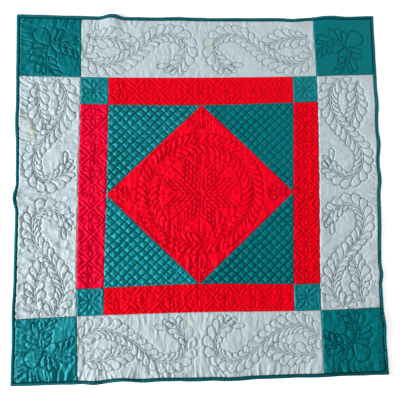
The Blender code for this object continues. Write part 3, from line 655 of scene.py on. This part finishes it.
def outer_strip_quilting():
    """Feather plumes that sweep from both ends to the middle, for the north outer strip."""
    half = Quilting()
    for knots in (MAIN_PLUME, BRANCH_PLUME):
        plume(half, knots)
    for strip_leaf in STRIP_LEAVES:
        teardrop(half, strip_leaf)
    work = Quilting()
    for end in (-1, 1):
        work.join(half, lambda points, end=end: np.stack([
            end * (INNER_HALF - points[:, 0]), INNER_HALF + points[:, 1],
        ], axis=1))
    return work


def outer_corner_quilting():
    """A flower with two round petals and two leafy sprays, for the northeast."""
    block = Quilting()
    for petal in FLOWER_PETALS:
        teardrop(block, petal, steps=24)
    for swap in (False, True):
        for base, tip, width in SPRAY_LEAVES:
            teardrop(block, Leaf(base[::-1], tip[::-1], width) if swap else Leaf(base, tip, width))
        block.sew(smooth_route(SPRAY_STEM[:, ::-1] if swap else SPRAY_STEM, 12))
    work = Quilting()
    work.join(block, lambda points: points + INNER_HALF)
    return work


def rectangle(west, south, east, north):
    """The four corners, from the southwest on to the left."""
    return np.array([(west, south), (east, south), (east, north), (west, north)])


Patch = namedtuple("Patch", "name cloth outline quilting")


def by_hand(line):
    """A line of the pattern as it is really sewn, a little off its mark all along."""
    line = np.asarray(line, float)
    run = distances(line)
    extra = np.arange(DRIFT_STEP, run[-1] - DRIFT_MARGIN, DRIFT_STEP)
    apart = np.abs(extra[:, None] - run).min(axis=1) > DRIFT_LEAST_STEP
    places = np.unique(np.concatenate([run, extra[apart]]))
    u, v = points_at(line, places).T
    strays = [
        cloud(u, v, DRIFT_SPACING, seed)
        + FINE_DRIFT_SHARE * cloud(u, v, FINE_DRIFT_SPACING, seed + 1)
        for seed in (11, 13)
    ]
    return np.stack([u + DRIFT * strays[0], v + DRIFT * strays[1]], axis=1)


def patches():
    """Every patch of the top, with its outline and its quilting in flat coordinates."""
    c, i, o = CENTRE_HALF, INNER_HALF, OUTER_HALF
    diamond = np.array([(c, 0), (0, c), (-c, 0), (0, -c)])
    made = [Patch("center_diamond", "red", diamond, star_and_wreath())]
    pattern = (
        ("triangle_", CORNERS, "teal", np.array([(c, 0), (c, c), (0, c)]), crosshatch()),
        ("inner_strip_", SIDES, "red", rectangle(-c, c, c, i), inner_strip_quilting()),
        ("inner_corner_", CORNERS, "teal", rectangle(c, c, i, i), inner_corner_quilting()),
        ("outer_strip_", SIDES, "grey", rectangle(-i, i, i, o), outer_strip_quilting()),
        ("outer_corner_", CORNERS, "teal", rectangle(i, i, o, o), outer_corner_quilting()),
    )
    for prefix, places, cloth, outline, quilting in pattern:
        for quarters, place in enumerate(places):
            work = Quilting()
            work.join(quilting, lambda points, q=quarters: turned(points, q))
            made.append(Patch(prefix + place, cloth, turned(outline, quarters), work))
    for patch in made:
        patch.quilting.lines = [by_hand(line) for line in patch.quilting.lines]
    return made


def edges_of(outline):
    """The outline's edges as (start, end, inward normal)."""
    edges = []
    for start, end in zip(outline, np.roll(outline, -1, axis=0)):
        along = (end - start) / norm(end - start)
        edges.append((start, end, leftward(along)))
    return edges


def inset(flat, edges):
    """How far inside each edge of an outline a point lies, or each of many."""
    return np.array([(flat - corner) @ inward for corner, _, inward in edges])


def inside_part(start, end, edges):
    """The stretch of a segment inside a convex outline, as two shares of it, or None."""
    first, last = 0.0, 1.0
    for a, b in zip(inset(start, edges), inset(end, edges)):
        if max(a, b) < -TOUCH:
            return None
        if a < -TOUCH:
            first = max(first, a / (a - b))
        elif b < -TOUCH:
            last = min(last, a / (a - b))
    return (first, last) if last - first > TOUCH else None


def clipped(line, edges):
    """The runs of a stitch line that lie on the patch."""
    runs, run = [], []
    for start, end in zip(line, line[1:]):
        part = inside_part(start, end, edges)
        if part:
            first, last = (start + (end - start) * share for share in part)
            run = run or [first]
            run.append(last)
        if not part or part[1] < 1.0:
            runs.append(run)
            run = []
    return [np.array(run) for run in (*runs, run) if run]


class Field:
    """A grid over the flat quilt: the nearest stitch line, and the puffs between the lines."""

    def __init__(self):
        self.count = int(round(2 * OUTER_HALF / CELL)) + 1
        shape = (self.count, self.count)
        self.near = np.full(shape, REACH, np.float32)
        self.along = np.zeros(shape, np.float32)
        self.line_u = np.zeros(shape, np.float32)
        self.line_v = np.zeros(shape, np.float32)
        self.places = np.linspace(-OUTER_HALF, OUTER_HALF, self.count)

    def stamp(self, start, end, run):
        """Marks the cells for which this segment of a line is the nearest."""
        low = np.floor((np.minimum(start, end) - REACH + OUTER_HALF) / CELL).astype(int)
        high = np.ceil((np.maximum(start, end) + REACH + OUTER_HALF) / CELL).astype(int) + 1
        low, high = np.clip(low, 0, self.count), np.clip(high, 0, self.count)
        window = (slice(low[0], high[0]), slice(low[1], high[1]))
        u = self.places[window[0]][:, None]
        v = self.places[window[1]][None, :]
        span = end - start
        length = math.hypot(*span)
        if length < 1e-7:
            return
        share = np.clip(((u - start[0]) * span[0] + (v - start[1]) * span[1]) / length**2, 0, 1)
        line_u = start[0] + share * span[0]
        line_v = start[1] + share * span[1]
        gap = np.hypot(u - line_u, v - line_v)
        nearer = gap < self.near[window]
        for array, value in (
            (self.near, gap), (self.along, run + share * length),
            (self.line_u, line_u), (self.line_v, line_v),
        ):
            array[window] = np.where(nearer, value, array[window])

    def rise(self):
        """Lets the wadding push the cloth up between the lines, as a soft skin would rise."""
        free = self.near > 0.55 * CELL
        stiff = (LOFT_SPREAD / CELL) ** 2
        puff = (1 - np.exp(-self.near / LOFT_SPREAD)).astype(np.float32)
        for _ in range(ROUNDS):
            wide = np.pad(puff, 1, mode="reflect")
            east_west = wide[2:, 1:-1] + wide[:-2, 1:-1]
            around = east_west + (wide[1:-1, 2:] + wide[1:-1, :-2])
            puff = np.where(free, (stiff * around + 1) / (4 * stiff + 1), 0).astype(np.float32)
        self.puff = puff

    def read(self, name, flat, nearest=False):
        """The grid's values at flat points."""
        grid = getattr(self, name)
        x = np.clip((flat[:, 0] + OUTER_HALF) / CELL, 0, self.count - 1.001)
        y = np.clip((flat[:, 1] + OUTER_HALF) / CELL, 0, self.count - 1.001)
        if nearest:
            return grid[np.rint(x).astype(int), np.rint(y).astype(int)]
        i, j = x.astype(int), y.astype(int)
        return between_cells(grid, i, j, x - i, y - j)


def make_field(stitched):
    """The field of all the stitch lines and seams."""
    field = Field()
    so_far = 0.0
    for patch, edges, runs in stitched:
        for start, end, _ in edges:
            field.stamp(start, end, so_far)
            so_far += SEAM_STEP
        for run in runs:
            for start, end in zip(run, run[1:]):
                field.stamp(start, end, so_far)
                so_far += norm(end - start)
            so_far += LINE_STEP
    field.rise()
    return field


def crest(places, spacing, seed):
    """Sharp ridges at uneven spacing, about nought on the whole."""
    return np.clip(1 - 2.6 * np.abs(smooth_noise(places, spacing, seed)), 0, 1) - 0.22


def slack(u, v):
    """How loosely the cloth lies: most in the southwest, least in the northeast."""
    return 0.80 - 0.45 * (u + v) / (2 * OUTER_HALF)


def rim_ridges(flat):
    """Ridges of loose cloth that run in from the binding and die out before the quilting."""
    u, v = flat[:, 0], flat[:, 1]
    total = np.zeros(len(flat))
    for seed, (across, along) in enumerate(((u, v), (-u, v), (v, u), (-v, u))):
        away = np.clip(OUTER_HALF - across, 0, None)
        splay = RIDGE_SPLAY * away * smooth_noise(along, 0.050, 60 + seed)
        fan = along + splay + RIDGE_SWAY * smooth_noise(away, 0.011, seed)
        reach = RIM_RIDGE.reach + RIDGE_REACH_CHANGE * smooth_noise(fan, 0.021, 70 + seed)
        height = RIM_RIDGE.height * (0.75 + 0.50 * smooth_noise(fan, 0.026, 50 + seed))
        ridge = crest(fan, RIM_RIDGE.spacing, 40 + seed)
        gather = crest(fan, RIM_GATHER.spacing, 44 + seed)
        total += height * ridge * np.exp(-((away / reach) ** 4))
        total += RIM_GATHER.height * gather * np.exp(-away / RIM_GATHER.reach)
    return slack(u, v) * total


def seam_ruffles(flat):
    """Small gathers that run away from the long seams, square to them."""
    u, v = flat[:, 0], flat[:, 1]
    total = np.zeros(len(flat))
    for seed, line in enumerate((-INNER_HALF, -CENTRE_HALF, CENTRE_HALF, INNER_HALF)):
        for shift, (across, along) in enumerate(((u, v), (v, u))):
            away = np.abs(across - line)
            fan = along + GATHER_SPLAY * away
            gather = crest(fan, SEAM_GATHER.spacing, 20 + 2 * seed + shift)
            total += SEAM_GATHER.height * gather * np.exp(-away / SEAM_GATHER.reach)
    return total


def crumple(u, v):
    """Creases that cross the wadding, most of them running out towards the nearest rim."""
    drift_u = u + CREASE_STRAY * cloud(u, v, CREASE_STRAY_SPACING, 11)
    drift_v = v + CREASE_STRAY * cloud(u, v, CREASE_STRAY_SPACING, 12)
    north = 1 / (1 + np.exp(-(np.abs(v) - np.abs(u)) / CREASE_TURN))
    ways = ((north, 1.0, 2.6), (1 - north, 2.2, 1.2))
    total = np.zeros(len(u))
    for crease in CREASES:
        for way, (share, wide_u, wide_v) in enumerate(ways):
            fold = cloud(drift_u / wide_u, drift_v / wide_v, crease.spacing, crease.seed + way)
            total += share * crease.height * (0.5 - 1.5 * np.abs(fold))
    return total


def at_seam(flat, edges):
    """How close each point is to one of its patch's seams, from 1 to 0, leaving out the rim."""
    edge = inset(flat, edges).min(axis=0)
    from_rim = OUTER_HALF - np.abs(flat).max(axis=1)
    return np.exp(-edge / SEAM_LIFT_REACH) * (1 - np.exp(-from_rim / 0.003))


def cloth_height(field, flat, near, along, in_triangle, loose):
    """How high the top cloth stands over its stitches."""
    u, v = flat[:, 0], flat[:, 1]
    puff = field.read("puff", flat)
    loft, facet = (TRIANGLE_LOFT, TRIANGLE_FACET) if in_triangle else (LOFT, FACET)
    slope = near / TRIANGLE_FACET_RUN if in_triangle else 1 - np.exp(-near / FACET_RUN)
    change = cloud(u, v, LOFT_CHANGE_SPACING, 3)
    full = (1 + LOFT_CHANGE * change) * (loft * puff + facet * slope)
    pinch = np.sin(math.tau * along / PINCH.spacing) * np.exp(-near / PINCH.reach)
    fading = np.exp(-near / PUCKER.reach)
    pucker = smooth_noise(along, PUCKER.spacing, 5) * fading * np.clip(near / 0.002, 0, 1)
    full += PINCH.height * pinch + PUCKER.height * slack(u, v) * pucker
    full += (rim_ridges(flat) + seam_ruffles(flat)) * np.clip(1.4 * puff, 0, 1)
    full += loose * slack(u, v) * crumple(u, v) * puff
    return np.maximum(full * (0.78 + 0.32 * slack(u, v)), LEAST_RISE)


def add_object(name, points, faces, material):
    """An object of these points and faces, smoothly shaded."""
    mesh = bpy.data.meshes.new(name)
    mesh.from_pydata(np.asarray(points), [], faces)
    mesh.validate()
    mesh.shade_smooth()
    mesh.materials.append(material)
    obj = bpy.data.objects.new(name, mesh)
    bpy.context.scene.collection.objects.link(obj)
    return obj


def paint(obj, name, values):
    """Keeps a number for each point, which the material reads."""
    attribute = obj.data.attributes.new(name, "FLOAT", "POINT")
    attribute.data.foreach_set("value", np.asarray(values, np.float32))


def rectangle_net(outline, pitch):
    """Flat points and faces of a grid over a rectangle that may be set on edge."""
    corner, east, north = outline[0], outline[1] - outline[0], outline[3] - outline[0]
    columns = int(math.ceil(norm(east) / pitch))
    rows = int(math.ceil(norm(north) / pitch))
    s, t = np.meshgrid(np.linspace(0, 1, columns + 1), np.linspace(0, 1, rows + 1), indexing="ij")
    points = corner + s.reshape(-1, 1) * east + t.reshape(-1, 1) * north
    number = np.arange((columns + 1) * (rows + 1)).reshape(columns + 1, rows + 1)
    faces = np.stack([number[:-1, :-1], number[1:, :-1], number[1:, 1:], number[:-1, 1:]], axis=-1)
    return points, list(faces.reshape(-1, 4))


def triangle_net(outline, cells):
    """Flat points and faces of a grid that follows the long side of a square corner."""
    start, square, end = outline
    columns = 2 * cells
    along = (end - start) / columns
    middle = (start + end) / 2
    up = (square - middle) / cells
    points, number = [], {}
    for j in range(cells + 1):
        for i in range(j, columns - j + 1):
            number[i, j] = len(points)
            points.append(start + i * along + j * up)
    faces = []
    for j in range(cells):
        for i in range(j, columns - j):
            a, b = number[i, j], number[i + 1, j]
            c, d = number.get((i + 1, j + 1)), number.get((i, j + 1))
            faces.append([k for k in (a, d, c, b) if k is not None])
    return np.array(points), [np.array(f) for f in faces]


def rim_loop(faces):
    """The directed edges that belong to one face only, in order round the rim."""
    follows = {}
    pairs = set()
    for face in faces:
        corners = [int(k) for k in face]
        pairs |= set(zip(corners, corners[1:] + corners[:1]))
    for a, b in pairs:
        if (b, a) not in pairs:
            follows[a] = b
    first = min(follows)
    loop = [first]
    while follows[loop[-1]] != first:
        loop.append(follows[loop[-1]])
    return loop


def drawn_in(flat, edges, gap):
    """The points of an outline moved inwards by a gap, and the others as they are."""
    moved = flat.copy()
    for depth, (_, _, inward) in zip(inset(flat, edges), edges):
        moved[np.abs(depth) < ON_EDGE] += gap * inward
    return moved


def snapped(flat, field, edges, pitch):
    """The net with its points that are close to a stitch line moved onto it."""
    near = field.read("near", flat, nearest=True)
    target = np.stack([field.read("line_u", flat, True), field.read("line_v", flat, True)], axis=1)
    gap = norm(target - flat, axis=1)
    inner = (inset(flat, edges) > 0.9 * pitch) & (inset(target, edges) > 0.4 * pitch)
    close = (gap < 0.55 * pitch) & (near < pitch) & inner.all(axis=0)
    return np.where(close[:, None], target, flat), close


def build_patch(patch, edges, field, material, pitch):
    """The thin cloth of one patch, with its edges turned down into the seams."""
    in_triangle = len(patch.outline) == 3
    if in_triangle:
        flat, faces = triangle_net(patch.outline, CELLS_PER_LEG * FACES_PER_CELL)
    else:
        flat, faces = rectangle_net(patch.outline, pitch)
    moved, on_line = snapped(flat, field, edges, pitch)
    near = np.where(on_line, 0.0, field.read("near", moved, nearest=True))
    along = field.read("along", moved, nearest=True)
    loose = TRIANGLE_LOOSE if in_triangle else LOOSE.get(patch.name, 1.0)
    height = cloth_height(field, moved, near, along, in_triangle, loose)
    height *= RELIEF.get(patch.name, 1.0)
    height[on_line] = np.minimum(height[on_line], STITCHED_RISE)
    seam = at_seam(moved, edges)
    painted_light = field.read("puff", moved)
    rim = rim_loop(faces)
    at_rim = np.zeros(len(flat), bool)
    at_rim[rim] = True
    points = laid(drawn_in(moved, edges, SEAM_GAP))
    points[:, 2] += np.where(at_rim, SEAM_HEIGHT, STITCH_HEIGHT + height) + SEAM_LIFT * seam
    skirt = laid(drawn_in(moved[rim], edges, SKIRT_GAP))
    skirt[:, 2] += SKIRT_HEIGHT
    first = len(points)
    turned_down = [
        np.array([b, a, first + k, first + (k + 1) % len(rim)])
        for k, (a, b) in enumerate(zip(rim, rim[1:] + rim[:1]))
    ]
    points = np.vstack([points, skirt])
    obj = add_object("cloth_" + patch.name, points, faces + turned_down, material)
    # Painted shade down in the stitch lines: the triangles get less of it, and the seams none
    if in_triangle:
        painted_light = 0.12 + 0.88 * painted_light
    paint(obj, "painted_light", np.concatenate([np.maximum(painted_light, seam), np.zeros(len(skirt))]))
    return obj


def stitch_ends(runs):
    """Where the thread of each hand stitch along the lines comes up and goes down."""
    starts, ends = [], []
    for run in runs:
        length = distances(run)[-1]
        count = max(int(length / STITCH_SPACING), 1)
        for k in range(count):
            places = (k + np.array(STITCH_ENDS)) * length / count
            start, end = points_at(run, places)
            starts.append(start)
            ends.append(end)
    return np.array(starts), np.array(ends)


def stitch_mesh(name, runs, thread, material):
    """Hand stitches along the lines, each a short thread that sinks into the cloth."""
    starts, ends = stitch_ends(runs)
    along = ends - starts
    along /= norm(along, axis=1)[:, None]
    aside = thread.half_width * leftward(along)
    middle = (starts + ends) / 2
    count = len(starts)
    points = laid(np.concatenate([starts, ends, middle + aside, middle - aside, middle, middle]))
    points[:, 2] += thread.height + np.repeat(THREAD_RISES, count)
    base = np.arange(count)
    faces = [
        np.stack([base + corner * count for corner in corners], axis=1) for corners in THREAD_FACES
    ]
    return add_object(name, points, list(np.concatenate(faces)), material)


def build_binding(quarters, side, material):
    """One strip of binding, folded round the rim, with its mitred ends and its puckers."""
    share_along = np.linspace(-1, 1, BINDING_STEPS + 1)
    along = share_along * OUTER_HALF
    drift = along + BINDING_STRAY * smooth_noise(along, 0.019, 90 + quarters)
    slow = smooth_noise(along, 0.030, 80 + quarters)
    uneven = 0.7 + 0.6 * smooth_noise(drift, 0.016, 70 + quarters)
    points, faces = [], []
    for fold in BINDING_SECTION:
        out = OUTER_HALF + SEAM_GAP + fold.share * (BINDING_WIDTH - SEAM_GAP)
        slanted = drift + BINDING_PUCKER_SLANT * fold.share
        pucker = np.cos(math.tau * slanted / BINDING_PUCKER)
        bulk = 1 + 0.14 * pucker * uneven + 0.08 * slow
        swell = np.full(len(along), out) + (0.0003 * pucker + 0.0005 * slow) * fold.share
        flat = np.stack([share_along * (out - 0.0001), swell], axis=1)
        strip = laid(turned(flat, quarters))
        strip[:, 2] += fold.height * np.where(fold.height > SWELLS_ABOVE, bulk, 1.0)
        points.append(strip)
    for k in range(len(BINDING_SECTION) - 1):
        a = k * len(along) + np.arange(BINDING_STEPS)
        b = a + len(along)
        faces.append(np.stack([a, b, b + 1, a + 1], axis=1))
    faces = list(np.concatenate(faces))
    obj = add_object("cloth_binding_" + side, np.vstack(points), faces, material)
    # Painted light and shade on the binding: a tone for each side that changes towards one end, lighter
    # on the pucker crests and darker between them, with slow random changes, and painted shade low on
    # the fold and along its inner edge on top
    tone_shift = np.interp(share_along, TONE_CHANGE, BINDING_TONE[side])
    pucker = np.cos(math.tau * drift / BINDING_PUCKER)
    tone = tone_shift * (0.58 + 0.42 * pucker) * (1 + 0.45 * slow)
    fold_shade = [
        (fold.height / BINDING_TOP) ** 2 * min(0.35 + fold.share / 0.45, 1.0)
        for fold in BINDING_SECTION
    ]
    paint(obj, "painted_light", np.concatenate([tone * part for part in fold_shade]))
    return obj


def build_back(field, material):
    """The back cloth, drawn up a little along the stitch lines."""
    outline = rectangle(-OUTER_HALF, -OUTER_HALF, OUTER_HALF, OUTER_HALF)
    flat, faces = rectangle_net(outline, BACK_PITCH)
    drawn = np.exp(-field.read("near", flat, nearest=True) / BACK_RISE_REACH)
    points = laid(flat)
    points[:, 2] += BACK_HEIGHT + BACK_RISE * drawn
    obj = add_object("cloth_back", points, [face[::-1] for face in faces], material)
    # Painted shade where the back is drawn up along the stitch lines
    paint(obj, "painted_light", 1 - drawn)
    return obj


class Nodes:
    """Builds a material's nodes with short calls."""

    def __init__(self, name):
        self.material = bpy.data.materials.new(name)
        self.material.use_nodes = True
        self.tree = self.material.node_tree

    def give(self, node, inputs):
        """Sets inputs of a node, each to a value or to another node's output."""
        for key, value in inputs.items():
            socket = node.inputs[key]
            if isinstance(value, bpy.types.NodeSocket):
                self.tree.links.new(value, socket)
            elif socket.type == "RGBA":
                socket.default_value = (*value, 1.0)
            else:
                socket.default_value = value

    def node(self, kind, inputs, **settings):
        """A new node with these inputs and settings."""
        made = self.tree.nodes.new(kind)
        for key, value in settings.items():
            setattr(made, key, value)
        self.give(made, inputs)
        return made

    def finish(self, inputs):
        """The material, once its shader has these inputs."""
        self.give(self.tree.nodes["Principled BSDF"], inputs)
        return self.material

    def attribute(self, name):
        return self.node("ShaderNodeAttribute", {}, attribute_name=name).outputs["Fac"]

    def place(self, scale=1.0, turn=0.0):
        """The object's own coordinates, scaled and turned."""
        inputs = {
            "Vector": self.node("ShaderNodeTexCoord", {}).outputs["Object"],
            "Scale": (scale, scale, scale), "Rotation": (0, 0, turn),
        }
        return self.node("ShaderNodeMapping", inputs).outputs["Vector"]

    def noise(self, scale, detail):
        inputs = {"Vector": self.place(), "Scale": scale, "Detail": detail}
        return self.node("ShaderNodeTexNoise", inputs).outputs["Fac"]

    def bands(self, scale, turn):
        """Straight threads side by side, a little uneven."""
        inputs = {"Vector": self.place(scale, turn), "Scale": 1, "Distortion": 1.2, "Detail": 2}
        made = self.node("ShaderNodeTexWave", inputs, wave_type="BANDS", bands_direction="X")
        return made.outputs["Fac"]

    def distance(self, spot):
        """How far a point is from a spot, 1 on the rim of its oval."""
        wide, long = spot.half_width, spot.half_length
        oval = self.node("ShaderNodeMapping", {
            "Vector": self.place(), "Scale": (1 / wide, 1 / long, 0),
            "Location": (-spot.east / wide, -spot.north / long, 0),
        })
        inputs = {0: oval.outputs["Vector"]}
        return self.node("ShaderNodeVectorMath", inputs, operation="LENGTH").outputs["Value"]

    def math(self, operation, *values):
        inputs = dict(enumerate(values))
        return self.node("ShaderNodeMath", inputs, operation=operation).outputs[0]

    def mix(self, factor, first, second, blend="MIX"):
        inputs = {0: factor, 6: first, 7: second}
        made = self.node("ShaderNodeMix", inputs, data_type="RGBA", blend_type=blend)
        return made.outputs[2]

    def ramp(self, factor, *stops):
        """A colour between those of the stops, each a place and its colour."""
        made = self.node("ShaderNodeValToRGB", {"Fac": factor})
        elements = made.color_ramp.elements
        while len(elements) < len(stops):
            elements.new(0.5)
        for element, (position, colour) in zip(elements, stops):
            element.position = position
            element.color = (*colour, 1.0)
        return made.outputs["Color"]


def cotton_material(name, cotton):
    """Plain woven cotton: dyed unevenly, painted in shade down in the stitches and full colour on the
    puffs.
    """
    nodes = Nodes(name + "_cloth")
    # Painted shade: the colour goes from the stitch shade in the stitch lines to full colour on the
    # puffs
    painted_light = nodes.attribute("painted_light")
    height = nodes.ramp(painted_light, (0.0, cotton.deep), (0.48, cotton.full), (1.0, cotton.full))
    tone_shift = nodes.ramp(nodes.noise(9.0, 4.0), (0.40, BLACK), (0.72, WHITE))
    colour = nodes.mix(nodes.math("MULTIPLY", tone_shift, 0.35), height, cotton.faded)
    mottle = nodes.ramp(nodes.noise(160.0, 3.0), (0.25, (0.86, 0.86, 0.86)), (0.75, WHITE))
    colour = nodes.mix(0.8, colour, mottle, "MULTIPLY")
    for stain in STAINS if name == "grey" else ():
        reach = nodes.math("MULTIPLY", nodes.distance(stain), 0.5)
        ragged = nodes.math("MULTIPLY_ADD", nodes.noise(38.0, 3.0), 0.45, reach)
        patchy = nodes.ramp(ragged, (0.42, WHITE), (0.78, BLACK))
        colour = nodes.mix(nodes.math("MULTIPLY", patchy, 0.55), colour, STAIN_COLOUR)
    warp, weft = (nodes.bands(WEAVE_SCALE, turn) for turn in (0.0, math.pi / 2))
    weave = nodes.math("MULTIPLY", warp, weft)
    surface = nodes.math("ADD", weave, nodes.math("MULTIPLY", nodes.noise(900.0, 2.0), 0.5))
    bump = nodes.node("ShaderNodeBump", {
        "Height": surface, "Strength": 0.35, "Distance": WEAVE_DEPTH,
    })
    return nodes.finish({
        "Normal": bump.outputs["Normal"],
        "Base Color": nodes.mix(nodes.math("MULTIPLY", weave, 0.10), colour, (0.02, 0.02, 0.02)),
        "Roughness": 0.60, "Specular IOR Level": cotton.gloss, "Specular Tint": cotton.glint,
    })


def thread_material(name, colour):
    """Cotton quilting thread, with a twist along it."""
    nodes = Nodes(name + "_thread")
    twist = nodes.noise(1400.0, 1.0)
    tone = nodes.ramp(twist, (0.3, tuple(0.7 * part for part in colour)), (0.7, colour))
    return nodes.finish({"Base Color": tone, "Roughness": 0.6, "Specular IOR Level": 0.10})


def cloth_of(patch):
    """The patch's cotton, which may be painted lighter or darker than the others of its colour for how
    the light falls on it.
    """
    if patch.name in SHADED:
        return "shaded_" + patch.cloth
    if patch.name in LIT:
        return "lit_" + patch.cloth
    return patch.cloth


def dress():
    """All the cloth of the quilt, each piece over its own solid."""
    cloths = {name: cotton_material(name, cotton) for name, cotton in COTTONS.items()}
    threads = {name: thread_material(name, thread.colour) for name, thread in THREADS.items()}
    stitched = []
    for patch in patches():
        edges = edges_of(patch.outline)
        runs = [run for line in patch.quilting.lines for run in clipped(line, edges)]
        stitched.append((patch, edges, runs))
    field = make_field(stitched)
    for patch, edges, runs in stitched:
        pitch = CORNER_PITCH if patch.name.startswith("outer_corner") else PITCH
        cloth = build_patch(patch, edges, field, cloths[cloth_of(patch)], pitch)
        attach(cloth, "root")
        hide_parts(patch.name)
        # The western triangles are sewn in light teal thread as a painted highlight along their stitch
        # lines
        thread = "light_" + patch.cloth if patch.name in HIGHLIT_SEWN else patch.cloth
        seams = stitch_mesh("stitches_" + patch.name, runs, THREADS[thread], threads[thread])
        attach(seams, "root")
        sides = [norm(end - start) for start, end, _ in edges]
    # Light grey stitch rows along the western seams stand for a painted highlight on their lit edges
    for number, ends in enumerate(SEAM_ROWS):
        name = f"seam_highlight_stitches_{number + 1}"
        row = stitch_mesh(name, [np.array(ends)], THREADS["seam_highlight"], threads["seam_highlight"])
        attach(row, "root")
    back = build_back(field, cloths["back"])
    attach(back, "root")
    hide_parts("quilt_back")
    for quarters, side in enumerate(SIDES):
        strip = build_binding(quarters, side, cloths["binding"])
        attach(strip, "root")
        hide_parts("binding_" + side)


def add_light(lamp):
    """A round lamp turned towards its aim."""
    data = bpy.data.lights.new(lamp.name, "AREA")
    data.shape = "DISK"
    data.size = lamp.size
    data.energy = lamp.power
    data.color = lamp.colour
    light = bpy.data.objects.new(lamp.name, data)
    bpy.context.scene.collection.objects.link(light)
    light.location = lamp.place
    direction = Vector(lamp.aim) - Vector(lamp.place)
    light.rotation_euler = direction.to_track_quat("-Z", "Y").to_euler()


def add_camera():
    """The camera above the quilt, as in the photo."""
    data = bpy.data.cameras.new("camera")
    data.sensor_width = CAMERA_SENSOR
    data.lens = CAMERA_LENS
    camera = bpy.data.objects.new("camera", data)
    bpy.context.scene.collection.objects.link(camera)
    forward = Vector(CAMERA_FORWARD).normalized()
    right = forward.cross(Vector(CAMERA_UP)).normalized()
    turn = Matrix((right, right.cross(forward), -forward)).transposed().to_4x4()
    turn.translation = Vector(CAMERA_PLACE)
    camera.matrix_world = turn
    bpy.context.scene.camera = camera


def set_stage():
    """A plain white floor under soft light from the left, and the camera."""
    outline = rectangle(-FLOOR_HALF, -FLOOR_HALF, FLOOR_HALF, FLOOR_HALF)
    corners = [(east, north, FLOOR_HEIGHT) for east, north in outline]
    white = Nodes("floor_white").finish({
        "Base Color": FLOOR_COLOUR, "Roughness": 0.9, "Specular IOR Level": 0.1,
    })
    floor = add_object("floor", corners, [np.arange(4)], white)
    for lamp in LAMPS:
        add_light(lamp)
    world = bpy.data.worlds.new("studio")
    bpy.context.scene.world = world
    world.use_nodes = True
    background = world.node_tree.nodes["Background"]
    background.inputs["Color"].default_value = (*WHITE, 1)
    background.inputs["Strength"].default_value = WORLD_STRENGTH
    bpy.context.scene.view_settings.view_transform = "Standard"
    add_camera()


dress()
set_stage()
